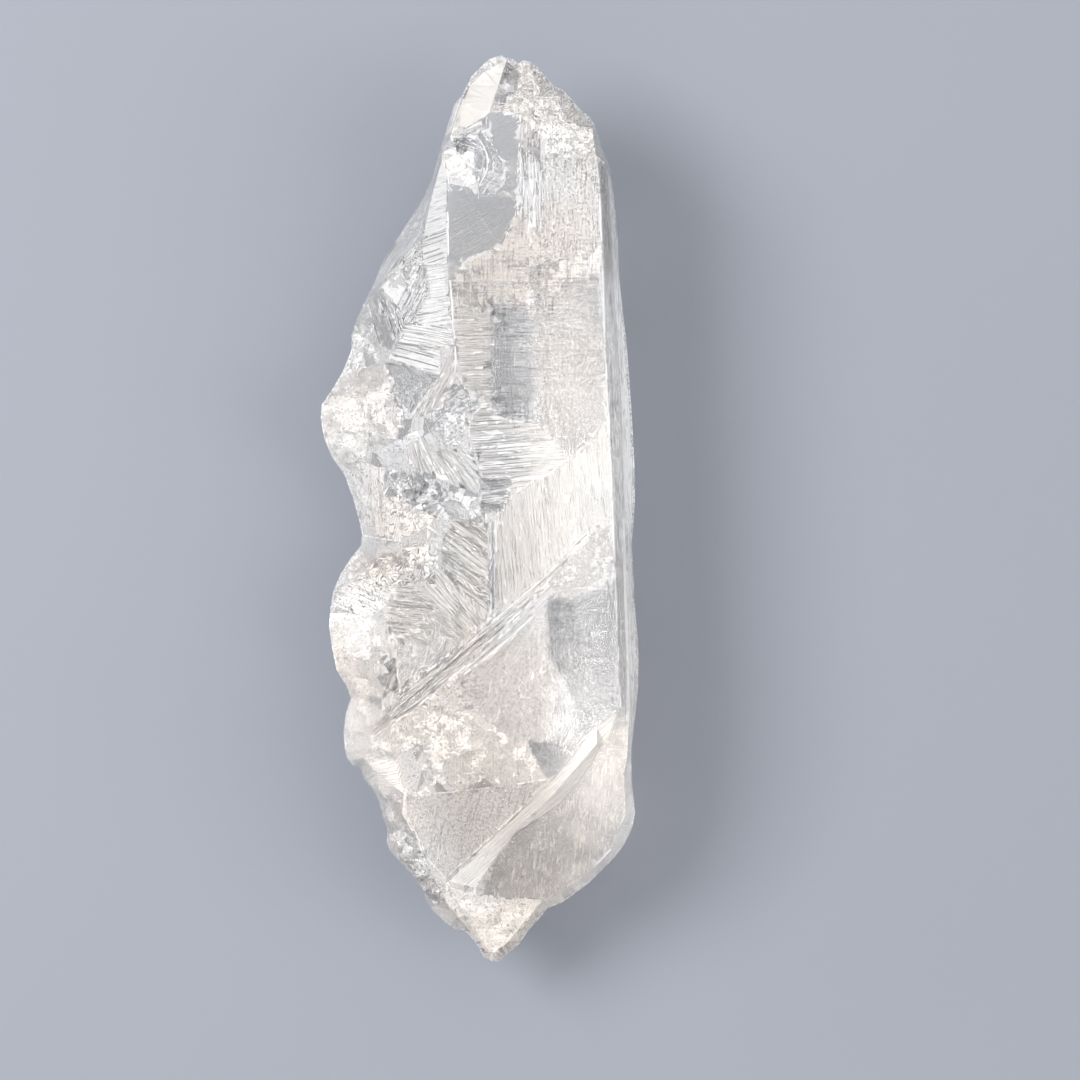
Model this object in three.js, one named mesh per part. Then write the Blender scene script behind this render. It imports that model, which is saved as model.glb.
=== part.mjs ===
// A natural crystal of clear quartz, one solid, lying on a grown face. Millimetres, +Z up, +Y to the point.
// The front is a flat prism face, and the right side keeps its prism faces. The left side and the foot broke.
// Two skins, front and back, are stretched over ridge lines and sewn together along the outline.
import * as THREE from "three";

// Driving dimensions
const FRONT = 54; // height of the front prism face above the resting face
const LEAN = 38.2; // degrees between a face of the point and the length of the crystal
const RIGHT_FRONT_TAPER = 2; // degrees the right faces close in towards the point
const RIGHT_BACK_TAPER = 2.7;
const FOOT_PLANE = { at: [35.5, -49, FRONT], perX: -0.1, perY: 0.45 }; // the broken face at the foot

const RIDGE_STEP = 3; // spacing of the points along a ridge
const SAME_CORNER = 0.3; // two corners closer than this are one
const CLEAR_OF_OUTLINE = 1.1; // no ridge point lies closer to the outline than this

// A flat face through a point, as its height over x and y. The azimuth goes round the length of the crystal,
// from the front by the right, and the lean is towards the point.
function face(azimuth, lean, [px, py, pz]) {
  const [a, b] = [azimuth, lean].map(THREE.MathUtils.degToRad);
  const normal = [Math.sin(a) * Math.cos(b), Math.sin(b), Math.cos(a) * Math.cos(b)];
  return (x, y) => pz - (normal[0] * (x - px) + normal[1] * (y - py)) / normal[2];
}

// The grown surface, before anything broke away. Neighbouring prism faces meet at 60 degrees.
const frontFaces = [
  face(0, 0, [0, 0, FRONT]),
  face(60, RIGHT_FRONT_TAPER, [29.8, 95, FRONT]),
  face(300, 0, [-7.7, 0, FRONT]),
];
const backFaces = [
  face(180, 0, [0, 0, 0]),
  face(120, RIGHT_BACK_TAPER, [15.2, 0, 0]),
  face(240, 0, [-22, 0, 0]),
  face(180, LEAN, [0, 60, 0]),
  face(120, LEAN, [13, 113.7, 41.4]),
  face(240, LEAN, [-12, 86, 20.5]),
];
const grownFront = (x, y) => Math.min(...frontFaces.map((height) => height(x, y)));
const grownBack = (x, y) => Math.max(...backFaces.map((height) => height(x, y)));
const footPlane = (x, y) => {
  const { at, perX, perY } = FOOT_PLANE;
  return at[2] + perX * (x - at[0]) + perY * (y - at[1]);
};

// The outline seen from above, clockwise from the point. A third number is the height of the rim there.
// Where there is none, the rim lies on the grown back.
const outline = [
  [5.5, 115.2], [8.5, 114.3], [9.8, 113.2], [11, 114], [13, 113.7], [15, 112], [17, 109.7], [19, 107.5],
  [21, 106.5], [23, 104.5], [25.5, 101.5], [28, 99.5], [29.2, 97.5], [30.6, 93.5], [33, 87], [34, 80],
  [35, 70], [35.3, 60], [36.2, 51], [37.3, 42], [38.5, 25], [39.2, 12], [39.3, 3], [38.9, -4], [38.4, -8],
  [38.9, -13], [39.2, -22], [40.3, -35], [40.2, -44], [39.4, -52], [38.5, -60], [38.6, -68], [39.5, -76],
  [38.8, -80], [37, -84, 30], [34.5, -87.5, 30], [31, -91, 30], [28, -94, 30], [24, -97, 29.5],
  [21, -99.2, 29], [17.5, -100.5, 29], [15, -103.5, 28], [12, -107, 27.5], [10, -110, 26.5],
  [7, -112.6, 26], [4.7, -114.6, 25], [3, -114.4, 25], [1, -113.2, 25], [-0.5, -110.5, 25],
  [-2, -108.5, 25], [-4, -106.6, 24], [-6, -106.5, 24], [-9.5, -104, 24], [-12, -101.5, 24],
  [-13.5, -99.5, 23], [-14.5, -96.5, 23], [-17, -93, 22], [-20, -89.5, 21], [-23, -86.5, 20],
  [-23.8, -84.5, 20], [-23.7, -81, 19], [-25, -77.5, 18], [-26, -73.5, 17], [-27.5, -71, 17],
  [-29.5, -68.5, 16], [-30.7, -65.5], [-32.6, -64.6], [-33.9, -62.8], [-34.5, -60.5], [-34.8, -56],
  [-34.2, -51], [-33, -47.5], [-34, -44.5], [-36.5, -40], [-37.5, -35], [-38.3, -29], [-38, -24],
  [-37.3, -20], [-35.5, -15.5], [-33, -11.5], [-30.6, -8.5], [-30.3, -5.5], [-31, -2], [-32.3, 3],
  [-34.5, 9.5], [-37.5, 14], [-39.5, 19], [-40.3, 24], [-40, 27.5], [-37.5, 31.5], [-35, 36], [-32.8, 42],
  [-32.9, 45.5], [-31.5, 50], [-30, 53.5], [-27, 60], [-25, 65], [-21, 71], [-17, 77], [-14, 82],
  [-12, 86], [-10.5, 91], [-9, 95.5], [-7.5, 100, 33.5], [-6.2, 103.5, 36], [-4.2, 105.8, 37],
  [-3, 108, 38], [-2.2, 109.8, 39], [0.2, 112.2], [2.5, 114.2],
];

// Ridges and valleys of each skin. A third number sets a corner's height. A corner given without one is the
// one already placed there, or else lies on the grown surface.
const foot = (x, y) => [x, y, footPlane(x, y)];
const frontRidges = {
  "edges of the grown faces": [
    [[28.6, 95.8, 53], [30.4, 80], [32, 37], [33.6, 2], [35.5, -49]],
    [[31.6, 87.5], [32.7, 70], [35, 30], [36.6, 0], [37.6, -36], [37.8, -50, 49.5], [37.2, -62, 47]],
    [[-7.7, 84], [-7.7, 70], [-7.5, 61], [-6.8, 55, 53.8], [-6.5, 50, 53.5]],
  ],
  "the point": [
    [[2.5, 100, 53.5], [4.8, 107, 48.2], [6.8, 113.2, 43]],
    [[-6.7, 96, 48], [-4.5, 102.8, 42.8], [-2.4, 107.4, 39.8]],
    [[-6.7, 96], [-3, 96, 51], [0.5, 98, 52.7], [2.5, 100], [6, 100.8, 53.4], [9.4, 99.6, 53.6]],
    [[9.4, 99.6], [10.6, 106, 49], [10, 111.2, 44.5]],
    [[9.4, 99.6], [15, 98, 53.2], [21.5, 97.8, 52.6], [28.6, 95.8]],
    [[15, 98], [15.4, 105, 48.6], [13, 111.2, 44.8]],
    [[21.5, 97.8], [19.4, 104.6, 47.6]],
  ],
  "chip below the point": [
    [[-7.2, 94, 48.5], [-3.4, 94, 51.2], [0.4, 94.6, 53.6], [1.4, 90.4, 54], [2.8, 86, 54], [0.4, 80.6, 54]],
    [[0.4, 80.6], [-4, 81.6, 53.8], [-7.7, 84]],
    [[-7.2, 94], [-5, 90, 50.4], [-1.6, 86.6, 52.2], [0.4, 80.6]],
  ],
  "narrow left face": [
    [
      [-9.1, 92.6, 43], [-9.2, 88], [-10.5, 84], [-12, 79], [-13.4, 73.6], [-14.7, 68.5], [-14.2, 61],
      [-13, 54],
    ],
    [[-7.7, 84], [-9.2, 88]],
  ],
  "sloping left face": [
    [[-14.7, 68.5], [-20, 64.6, 36], [-24, 59.4, 30], [-26.6, 56, 26]],
    [[-24, 59.4], [-20, 60.6, 38], [-16.8, 61.8, 41.5], [-14.2, 61]],
  ],
  "left shoulder break": [
    [
      [-26.6, 56], [-24.4, 55.4, 30.6], [-20, 51.6, 38.5], [-18, 47, 41.5], [-20, 43.6, 40],
      [-22.4, 40.6, 36.5],
    ],
    [[-22.4, 40.6], [-25.4, 43, 31], [-27.6, 48, 27], [-26.6, 56]],
    [[-24.4, 55.4], [-23.6, 50, 31.6], [-23.4, 45.6, 33], [-22.4, 40.6]],
    [[-27.6, 48], [-29.6, 45.2, 24], [-30.2, 40, 24], [-28, 35.6, 31]],
    [[-20, 51.6], [-16.6, 52.6, 43], [-13, 54]],
    [[-16.6, 52.6], [-17.6, 57, 41.6], [-16.8, 61.8]],
    [[-18, 47], [-12.6, 50.4, 46.4], [-6.5, 50]],
    [[-20, 43.6], [-14, 42.6, 45.2], [-9.4, 40.6, 49.4], [-5.9, 42, 53.2], [-6.5, 50]],
    [[-22.4, 40.6], [-15.8, 39.6, 43.4], [-9.6, 37.4, 48.8], [-9.4, 40.6]],
    [[-23.8, 37.8, 38.4], [-16.6, 36.2, 43.2], [-10.2, 34, 48.4], [-9.6, 37.4]],
    [[-22.4, 40.6], [-23.8, 37.8], [-24.4, 33, 38.2]],
    [[-28, 35.6], [-24.4, 33], [-20.6, 28, 41], [-17.4, 23.4, 44]],
    [[-10.2, 34], [-13.2, 29, 46.4], [-17.4, 23.4]],
    [[-5.9, 42], [-5.4, 34, 53.6], [-7, 28, 51], [-9.2, 25.4, 49.4], [-13.2, 23.6, 46.2], [-17.4, 23.4]],
    [[-5.4, 34], [-2.4, 29.2, 53.8], [2, 29, 54]],
    [[-2.4, 29.2], [-3.8, 25, 53]],
  ],
  "upper boss": [
    [[-17.4, 23.4], [-20.6, 18.2, 41], [-26, 15, 37], [-31.4, 11.8, 30]],
    [[-24.4, 33], [-27.6, 28.4, 39], [-26.2, 22, 40.6], [-26, 15]],
    [[-27.6, 28.4], [-34.6, 29.4, 34.6], [-36.6, 24, 35.4], [-34.2, 17.4, 34], [-31.4, 11.8]],
    [[-26.2, 22], [-34.2, 17.4]],
  ],
  "middle break": [
    [[-17.4, 23.4], [-13.2, 23.6]],
    [[-20.6, 18.2], [-15.6, 20.6, 44.6], [-13.2, 23.6]],
    [
      [-9.2, 25.4], [-3.8, 25], [-3, 20, 52.8], [-4.6, 17, 52], [-9.6, 16.4, 49], [-12.2, 20, 46.6],
      [-13.2, 23.6],
    ],
    [[-9.2, 25.4], [-7, 20.6, 51.6], [-9.6, 16.4]],
    [[2, 29], [-0.6, 25, 53.6], [-3, 20]],
    [[-4.6, 17], [-1.2, 13.6, 52.6], [0.6, 9, 52], [0.8, 5.4, 51.6]],
    [[-9.6, 16.4], [-4.8, 11.4, 50.2], [-0.8, 6.8, 51.2], [0.8, 5.4]],
    [[-12.2, 20], [-9.2, 13.6, 47.6], [-4.8, 8, 48.4], [-0.4, 3.8, 50]],
    [[-15.6, 20.6], [-18.6, 15.6, 42.6], [-23.4, 11.6, 37.6], [-26.2, 5, 32]],
    [[-18.6, 15.6], [-13.4, 14.4, 45.4], [-9.2, 13.6]],
    [[-23.4, 11.6], [-19.4, 11.4, 41.4], [-9.2, 7.2, 46.8], [-4.8, 8]],
    [[-9.2, 7.2], [-7.4, 4.4, 46.8], [-13.4, 0.2, 44], [-21.6, 4, 37.4], [-26.2, 5]],
    [[-19.4, 11.4], [-21.6, 4]],
    [[-7.4, 4.4], [-0.4, 3.8]],
    [[-13.4, 0.2], [-10.6, -1.6, 45.4], [-7.4, 4.4]],
  ],
  "neck": [
    [[-31.4, 11.8], [-28.8, 6, 26.4], [-27, -1, 25], [-25, -6.6, 27.6], [-20, -7.2, 36.6]],
    [[-26.2, 5], [-24.4, -1, 31], [-20, -7.2]],
    [[-21.6, 4], [-20.2, -2, 36.6], [-20, -7.2]],
    [[-20, -7.2], [-13, -3.8, 44], [-10.6, -1.6]],
    [[-20, -7.2], [-13.2, -7.2, 42.6], [-10, -5.6, 45], [-7.4, -1.6, 47.6]],
    [[-10.6, -1.6], [-7.4, -1.6]],
  ],
  "step across the front face": [
    [
      [0.8, 5.4], [7, 5.6, 52], [11, 8.4, 52.5], [16, 10.8, 53], [21, 14.4, 53.5], [26, 18.8, 53.8],
      [31.6, 24.6, 54],
    ],
    [[5.4, 0.6, 52.4], [8.6, 4, 53.2], [12.4, 6.6, 53.5], [17, 9, 53.7], [22, 12.6, 53.9], [27, 17, 54]],
    [[0.8, 5.4], [0.4, 0.6, 50.8], [5.4, 0.6], [7, 5.6]],
    [[-0.4, 3.8], [0.4, 0.6]],
    [[-7.4, -1.6], [-2.8, -2.2, 49.6], [0.4, 0.6]],
    [[-2.8, -2.2], [2.7, -2.8, 51.6], [4.3, -1.4, 53.3], [5.4, 0.6]],
  ],
  "upright step": [
    [[4.3, -1.4], [4.3, -14, 52.3], [4.5, -25.4, 51.4]],
    [[2.7, -2.8], [2.7, -14, 50.8], [2.9, -26.8, 50.2]],
  ],
  "long ledge": [
    [[29, -3, 54], [25, -6.4, 53.6], [20, -12.2, 52.8], [15.4, -16.6, 52.4], [10, -21, 51.9], [4.5, -25.4]],
    [
      [2.9, -26.8], [-3, -32.6, 48.6], [-10, -38, 46.2], [-20, -46, 43], [-24.6, -50, 41.2],
      [-29, -55.6, 36.4],
    ],
    [
      [29, -3], [26.4, -8, 54], [22, -12.6, 54], [18, -17.4, 54], [13, -23, 53.9], [8, -28, 53.6],
      [3, -33, 53],
    ],
    [[3, -33], [-5, -40, 51.8], [-15, -48.4, 49], [-21, -52.6, 47], [-27, -58, 41], [-29.4, -62.4, 35.6]],
    [[4.5, -25.4], [2.9, -26.8]],
  ],
  "hatched facet": [
    [[-7.4, -1.6], [-9, -6.6, 46.2], [-10, -12, 45.6], [-4, -21, 47.4], [2.9, -26.8]],
    [[-10, -12], [-10.6, -19, 45], [-10, -24, 45.4], [-3, -32.6]],
    [[-10, -5.6], [-9, -6.6]],
  ],
  "lower boss": [
    [[-13.2, -7.2], [-17, -12.8, 42.4], [-21, -19, 40.2], [-24.4, -24, 39.4], [-27.4, -27, 36.4]],
    [[-25, -6.6], [-26.6, -12, 31.4], [-28, -16.4, 34], [-25.6, -19.8, 37.4], [-21, -19]],
    [[-28, -16.4], [-33.4, -17.6, 30.4]],
    [[-25.6, -19.8], [-31, -20.6, 34.6], [-35, -22.8, 32.4]],
    [[-27.4, -27], [-31.6, -25.4, 35], [-35, -22.8]],
    [[-17, -12.8], [-10, -12]],
    [[-21, -19], [-16, -18.4, 44], [-10, -24]],
    [[-24.4, -24], [-20, -22.4, 41.4], [-13.8, -26.4, 43.6], [-10, -24]],
    [[-27.4, -27], [-23, -28.4, 39], [-18, -31, 41.6], [-13.8, -26.4]],
    [[-18, -31], [-21, -37, 41.4], [-20, -46]],
    [[-23, -28.4], [-25.2, -36, 37.8], [-24.4, -44, 38.6], [-24.6, -50]],
    [[-21, -37], [-23.4, -42, 39.6], [-24.4, -44]],
    [[-27.4, -27], [-30.6, -34, 34], [-29.6, -42, 30.6], [-27.6, -48.4, 34], [-29, -55.6]],
    [[-30.6, -34], [-35.6, -31, 31]],
    [[-27.6, -48.4], [-31.4, -49.4, 28]],
    [[-27.6, -48.4], [-24.6, -50]],
  ],
  "dome below the ledge": [
    [
      [-27, -58], [-21.6, -60.4, 44.6], [-14, -60, 47.6], [-5, -50.6, 51.2], [5, -45, 52.9],
      [14, -43.4, 53.7],
    ],
    [[14, -43.4], [21, -47.6, 53.7], [25.6, -55, 53.2], [25, -59.4, 52.6]],
    [[-14, -60], [-4, -60.6, 50.4], [8, -58, 52.2], [18, -60.6, 51.9], [19.6, -65.6, 51.2]],
  ],
  "crest above the foot": [
    [[-25.4, -70.6, 31.6], [-22.6, -70.8, 37], [-18.6, -71, 43], [-10, -70, 45.6], [0, -69.2, 47.6]],
    [[0, -69.2], [10, -67.6, 49.6], [19.6, -65.6]],
    [[-29.4, -62.4], [-26, -65.6, 37.4], [-18.6, -71]],
  ],
  "sliver across the foot": [
    [[35.5, -49], [29.6, -53.6, 53.6], [25, -59.4], [19.6, -65.6], [15, -70.4, 49.6], [10, -75.4, 47.2]],
    [[10, -75.4], [5, -80.4, 44.6], [0, -85, 42], [-4.4, -88.8, 40], [-8.4, -93.6, 37.4]],
    [[35.5, -49], foot(33.2, -55), foot(30, -60.4), foot(28, -64), foot(24.6, -69), foot(20, -74)],
    [foot(20, -74), foot(15, -77.6), foot(10, -80.8), foot(5, -86.4), foot(2, -91.6), foot(-0.6, -96)],
    [foot(-0.6, -96), [-8.4, -93.6]],
    [[29.6, -58, 53], [24, -64.6, 50.8], [18.6, -71, 48.4], [12, -77, 45.2], [4, -83.6, 42.6]],
  ],
  "left flank of the foot": [
    [
      [-18.6, -71], [-19.2, -76, 41.4], [-15.4, -83, 40], [-13.6, -88.6, 38.2], [-10.4, -94.4, 36],
      [-8.4, -98.6, 34],
    ],
    [[-8.4, -93.6], [-8.4, -98.6], [-5.6, -102.8, 31]],
    [[-19.2, -76], [-22.2, -78.4, 32], [-21.4, -83.4, 30.6], [-15.4, -83]],
    [[-22.6, -70.8], [-22.2, -78.4]],
    [[-15.4, -83], [-18.6, -88, 30.4]],
    [[-13.6, -88.6], [-15.4, -92, 30.4]],
    [[-10.4, -94.4], [-12.2, -98.2, 29.6]],
  ],
  "the foot": [
    [foot(36.8, -76), foot(33.4, -85), foot(27.6, -91.4), foot(20.6, -96.4), foot(16, -98.6)],
    [foot(16, -98.6), foot(11.6, -103.6), foot(7.6, -108.8), foot(3.4, -112)],
    [foot(-0.6, -96), foot(0, -103), foot(0.8, -108.6), foot(3.4, -112)],
    [foot(12, -79.6), [15, -86, 40.6], [16.4, -92, 37.8], foot(16, -98.6)],
    [foot(36.8, -76), [36.4, -66, 46], [37.2, -62]],
  ],
};

const backRidges = {
  "resting face": [
    [[11.9, 60], [15.2, 0], [17.8, -47], [14, -55], [4, -60], [-8, -58], [-17, -51], [-22, -42]],
    [[-22, -42], [-22, 60], [11.9, 60]],
  ],
  "back of the point": [
    [[11.9, 60], [24.1, 90.4], [19.2, 101], [13.8, 112]],
    [[24.1, 90.4], [31, 90.4]],
    [[-22, 60], [-22.9, 62], [-19, 70]],
    [[-22.9, 62], [-25, 62]],
  ],
  "broken back of the foot": [
    [[17.8, -47], [24, -60], [30, -70], [34.5, -79]],
    [[-22, -42], [-25, -50], [-28, -58], [-29.6, -63]],
    [[4, -60], [4, -78, 6.2], [2, -96, 14.4], [3, -108, 20.4]],
    [[14, -55], [17, -72, 7.5], [14, -92, 17]],
    [[24, -60], [17, -72], [4, -78]],
    [[30, -70], [27, -84, 21.5], [17, -72]],
    [[27, -84], [14, -92], [2, -96]],
    [[-8, -58], [-9, -76, 7.6], [2, -96]],
    [[-9, -76], [-17, -80, 14], [-12, -92, 18.4], [2, -96]],
    [[-17, -51], [-20, -62, 7], [-17, -80]],
    [[-20, -62], [-28, -58]],
  ],
};

// Plane geometry
const distance = (a, b) => Math.hypot(a[0] - b[0], a[1] - b[1]);

// Points every step along a line of corners, the corners included, with all their numbers evenly between
function walk(corners, step) {
  const points = [corners[0]];
  for (let i = 1; i < corners.length; i++) {
    const [from, to] = [corners[i - 1], corners[i]];
    const parts = Math.max(1, Math.round(distance(from, to) / step));
    for (let k = 1; k <= parts; k++) {
      points.push(from.map((value, n) => value + ((to[n] - value) * k) / parts));
    }
  }
  return points;
}

// The outline closed and walked, at the height given, or else on the grown back
function rim() {
  const corners = outline.map(([x, y, z]) => [x, y, z ?? grownBack(x, y)]);
  return walk([...corners, corners[0]], RIDGE_STEP - 1).slice(0, -1);
}

function inside(polygon, x, y) {
  let odd = false;
  for (let i = 0, j = polygon.length - 1; i < polygon.length; j = i++) {
    const [[xi, yi], [xj, yj]] = [polygon[i], polygon[j]];
    if (yi > y !== yj > y && x < ((xj - xi) * (y - yi)) / (yj - yi) + xi) odd = !odd;
  }
  return odd;
}

// Delaunay triangles of points in the plane, as counter-clockwise index triples, one point added at a time
function delaunay(points) {
  const far = 1e4;
  const all = [...points, [-far, -far], [far, -far], [0, far]];
  const n = points.length;
  const circle = ([a, b, c]) => {
    const [[ax, ay], [bx, by], [cx, cy]] = [all[a], all[b], all[c]];
    const d = 2 * (ax * (by - cy) + bx * (cy - ay) + cx * (ay - by));
    const [aa, bb, cc] = [ax * ax + ay * ay, bx * bx + by * by, cx * cx + cy * cy];
    const x = (aa * (by - cy) + bb * (cy - ay) + cc * (ay - by)) / d;
    const y = (aa * (cx - bx) + bb * (ax - cx) + cc * (bx - ax)) / d;
    return { x, y, rr: (ax - x) ** 2 + (ay - y) ** 2 };
  };
  let triangles = [{ at: [n, n + 1, n + 2], ...circle([n, n + 1, n + 2]) }];
  for (let p = 0; p < n; p++) {
    const [x, y] = all[p];
    const hit = triangles.filter((t) => (x - t.x) ** 2 + (y - t.y) ** 2 < t.rr);
    const edges = new Map();
    for (const { at } of hit) {
      for (const [a, b] of [[at[0], at[1]], [at[1], at[2]], [at[2], at[0]]]) {
        if (!edges.delete(`${b},${a}`)) edges.set(`${a},${b}`, [a, b]);
      }
    }
    triangles = triangles.filter((t) => !hit.includes(t));
    for (const [a, b] of edges.values()) triangles.push({ at: [a, b, p], ...circle([a, b, p]) });
  }
  return triangles.map((t) => t.at).filter((at) => at.every((i) => i < n));
}

// One skin: the outline's points first, then those of its ridges, and the triangles between them
function skin(edge, ridgeSets, grown) {
  const corners = [];
  const settle = ([x, y, z]) => {
    const known = corners.find((corner) => distance(corner, [x, y]) < SAME_CORNER);
    if (known) return known;
    corners.push([x, y, z ?? grown(x, y)]);
    return corners.at(-1);
  };
  const points = edge.map((point) => [...point]);
  for (const line of Object.values(ridgeSets).flat()) {
    for (const point of walk(line.map(settle), RIDGE_STEP)) {
      const room = (i) => (i < edge.length ? CLEAR_OF_OUTLINE : SAME_CORNER);
      if (!points.some((other, i) => distance(other, point) < room(i))) points.push(point);
    }
  }
  const triangles = delaunay(points).filter(([a, b, c]) => {
    const [x, y] = [0, 1].map((k) => (points[a][k] + points[b][k] + points[c][k]) / 3);
    return inside(edge, x, y);
  });
  return { points, triangles };
}

// Both skins sewn along the rim they share, the back one with its triangles turned over
function crystalGeometry() {
  const edge = rim();
  const front = skin(edge, frontRidges, grownFront);
  const back = skin(edge, backRidges, grownBack);
  const positions = [...front.points, ...back.points.slice(edge.length)].flat();
  const behind = (i) => (i < edge.length ? i : i - edge.length + front.points.length);
  const turned = back.triangles.map(([a, b, c]) => [behind(a), behind(c), behind(b)]);
  const index = [...front.triangles, ...turned].flat();
  const geometry = new THREE.BufferGeometry();
  geometry.setAttribute("position", new THREE.Float32BufferAttribute(positions, 3));
  geometry.setIndex(index);
  geometry.computeVertexNormals();
  geometry.computeBoundingBox();
  const { min, max } = geometry.boundingBox;
  return geometry.translate(-(min.x + max.x) / 2, -(min.y + max.y) / 2, -min.z);
}

const clearQuartz = new THREE.MeshStandardMaterial({
  color: "#f3f2ee",
  roughness: 0.05,
  metalness: 0,
  transparent: true,
  opacity: 0.35,
});

const crystal = new THREE.Mesh(crystalGeometry(), clearQuartz);
crystal.name = "crystal";

const part = new THREE.Group();
part.add(crystal);

export default part;
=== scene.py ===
import math
import bpy
import bmesh
import numpy as np
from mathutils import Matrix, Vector
from mathutils.bvhtree import BVHTree
from mathutils.geometry import delaunay_2d_cdt


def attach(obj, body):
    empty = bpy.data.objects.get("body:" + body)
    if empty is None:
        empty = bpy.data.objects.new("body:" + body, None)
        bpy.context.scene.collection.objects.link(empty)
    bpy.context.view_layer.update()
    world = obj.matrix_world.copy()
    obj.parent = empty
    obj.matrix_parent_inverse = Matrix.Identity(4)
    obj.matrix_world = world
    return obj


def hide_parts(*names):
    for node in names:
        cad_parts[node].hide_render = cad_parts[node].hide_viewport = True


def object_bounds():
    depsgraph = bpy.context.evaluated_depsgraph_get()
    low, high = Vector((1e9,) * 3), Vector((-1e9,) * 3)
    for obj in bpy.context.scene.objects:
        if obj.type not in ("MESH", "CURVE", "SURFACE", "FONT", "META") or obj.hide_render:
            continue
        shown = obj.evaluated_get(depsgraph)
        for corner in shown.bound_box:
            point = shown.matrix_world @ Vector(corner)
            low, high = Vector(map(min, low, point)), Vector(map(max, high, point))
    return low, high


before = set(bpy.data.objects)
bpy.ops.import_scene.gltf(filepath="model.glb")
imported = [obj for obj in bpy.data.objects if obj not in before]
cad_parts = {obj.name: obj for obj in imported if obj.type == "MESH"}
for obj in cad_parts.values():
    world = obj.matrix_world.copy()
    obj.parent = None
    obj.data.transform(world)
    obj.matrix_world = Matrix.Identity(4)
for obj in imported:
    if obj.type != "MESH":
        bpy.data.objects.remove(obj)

# A natural clear quartz crystal lying on its grown back face. The CAD solid gives its size and its large
# faces. Here both skins of that solid are cut again along every growth step, ripple and break, and raised or
# sunk along their normals by tenths of a millimetre, because that fine relief is what makes clear quartz look
# white. Lengths are millimetres in the CAD frame, and become metres in the meshes. The veils inside the
# crystal, the stage and the lights are in metres.

cad_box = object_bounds()
MM = 0.001
FAR = 1e9                  # farther away than anything here
WELL_ABOVE = 200           # a height well above the crystal, from which a ray is cast down
SKIN_HEIGHT = {1: 40, -1: 10}   # about the height of the front, which is side 1, and of the back, side -1
LINED = ("steps", "rings", "rays")      # the kinds of zone that are all lines
TABLE = 97                 # side of the table of random numbers under each noise
FIRST_SEED = 99            # seed of the first zone, and each next zone has the next one
RIM_SEED = 11              # seed of the nibbles in the outline
LOOSE_SEEDS = {1: 5, -1: 6}     # seeds of the points between the lines, for each side
RIM_STEP = 0.8             # length of the pieces that the outline is cut into
RIM_CHIP = 0.14            # how far the outline is nibbled
RIM_INSET = 0.5            # how far in from the outline a row of points follows it
RIM_WORN_AND_GLINTING = 0.3             # how far in from the outline the quartz is white, partly wear and partly a painted highlight
COARSE = 2.6               # spacing of points on plain grown faces
LINE_STEP = 2.0            # spacing of points along a growth step
BORDER_STEP = 1.3          # spacing of points along the edge of a zone
RIDGE_STEP = 0.7           # spacing of points along an edge with a white line
BORDER_SWAY = 0.3          # how far the edge of a zone sways
EDGE_WIDTH = 0.3           # width of the bright or dark line along the edge of a facet
EDGE_CLEAR = 0.45          # growth steps stop this far from the outline
LOOSE_CLEAR = 0.3          # rows of points beside it stop this far from it
SCATTER_CLEAR = 0.35       # and scattered points this far
SHARP = math.radians(9)    # CAD edges at least this sharp stay crisp
WORN_AND_GLINTING = math.radians(42)    # and those at least this sharp have a white line, partly wear and partly a painted highlight
SOFT_GRID = 0.7            # spacing of the grid on which the corners of a break are rounded
SOFT_BLUR = 1.5            # how widely they are rounded
REACH = 8                  # how far a growth step goes before its height changes
# The finishes of the quartz, from clear to white: how much of the light goes straight in, and how satin it
# is, which sets its least roughness, its relief and how dark the painted shade in its grooves is. Fine
# etching scatters the rest of the light, which is what turns clear quartz white.
FINISHES = {"quartz_glassy": (1.0, 0.012), "quartz_faintly_etched": (0.88, 0.06),
            "quartz_satin_etched": (0.7, 0.14), "quartz_white_etched": (0.5, 0.22)}
# What the material reads from each point: how warm it is, how satin, and how strong its fine parallel lines
# are, its etch specks, the lines across the first ones and its glassy ribs, all raised as bumps and darkened
# with painted shade in their grooves, and a grey painted shade over it all. Each has a value for plain grown
# faces, or None where it follows from the place, and one for each kind of zone that has its own.
MARKS = {"warm": (None, {}),
         "frost": (0.04, {"hills": 0.2, "waves": 0.1}),
         "lines": (0.15, {"steps": 0.7, "rings": 0.5, "rays": 0.7, "blocks": 0.5}),
         "speckle": (0.3, {"hills": 0.8, "waves": 0.35, "blocks": 0.4, "steps": 0.25}),
         "cross": (0, {"blocks": 0.6}),
         "crinkle": (None, {"hills": 0.5, "waves": 0, "blocks": 0, "steps": 0, "rings": 0, "rays": 0}),
         # the last is painted shade: a grey over whole faces that stands in for the dark room seen through
         # the crystal
         "painted_shade": (0, {})}


def in_scene(name, data):
    """A new object in the scene."""
    made = bpy.data.objects.new(name, data)
    bpy.context.scene.collection.objects.link(made)
    return made


def noise(x, y, size, seed):
    """Smooth noise from -1 to 1, in cells of a size in mm."""
    table = np.random.default_rng(seed).uniform(-1, 1, (TABLE, TABLE))
    u, v = np.asarray(x) / size, np.asarray(y) / size
    i, j = np.floor(u).astype(int), np.floor(v).astype(int)
    s, t = u - i, v - j
    s, t = s * s * (3 - 2 * s), t * t * (3 - 2 * t)

    def drawn(a, b):
        return table[a % TABLE, b % TABLE]
    low = drawn(i, j) * (1 - s) + drawn(i + 1, j) * s
    high = drawn(i, j + 1) * (1 - s) + drawn(i + 1, j + 1) * s
    return low * (1 - t) + high * t


def from_line(start, end, x, y):
    """How far each point is from the line between two places in plan."""
    (ax, ay), (bx, by) = start, end
    dx, dy = bx - ax, by - ay
    t = np.clip(((x - ax) * dx + (y - ay) * dy) / (dx * dx + dy * dy + 1e-12), 0, 1)
    return np.hypot(x - ax - t * dx, y - ay - t * dy)


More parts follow.
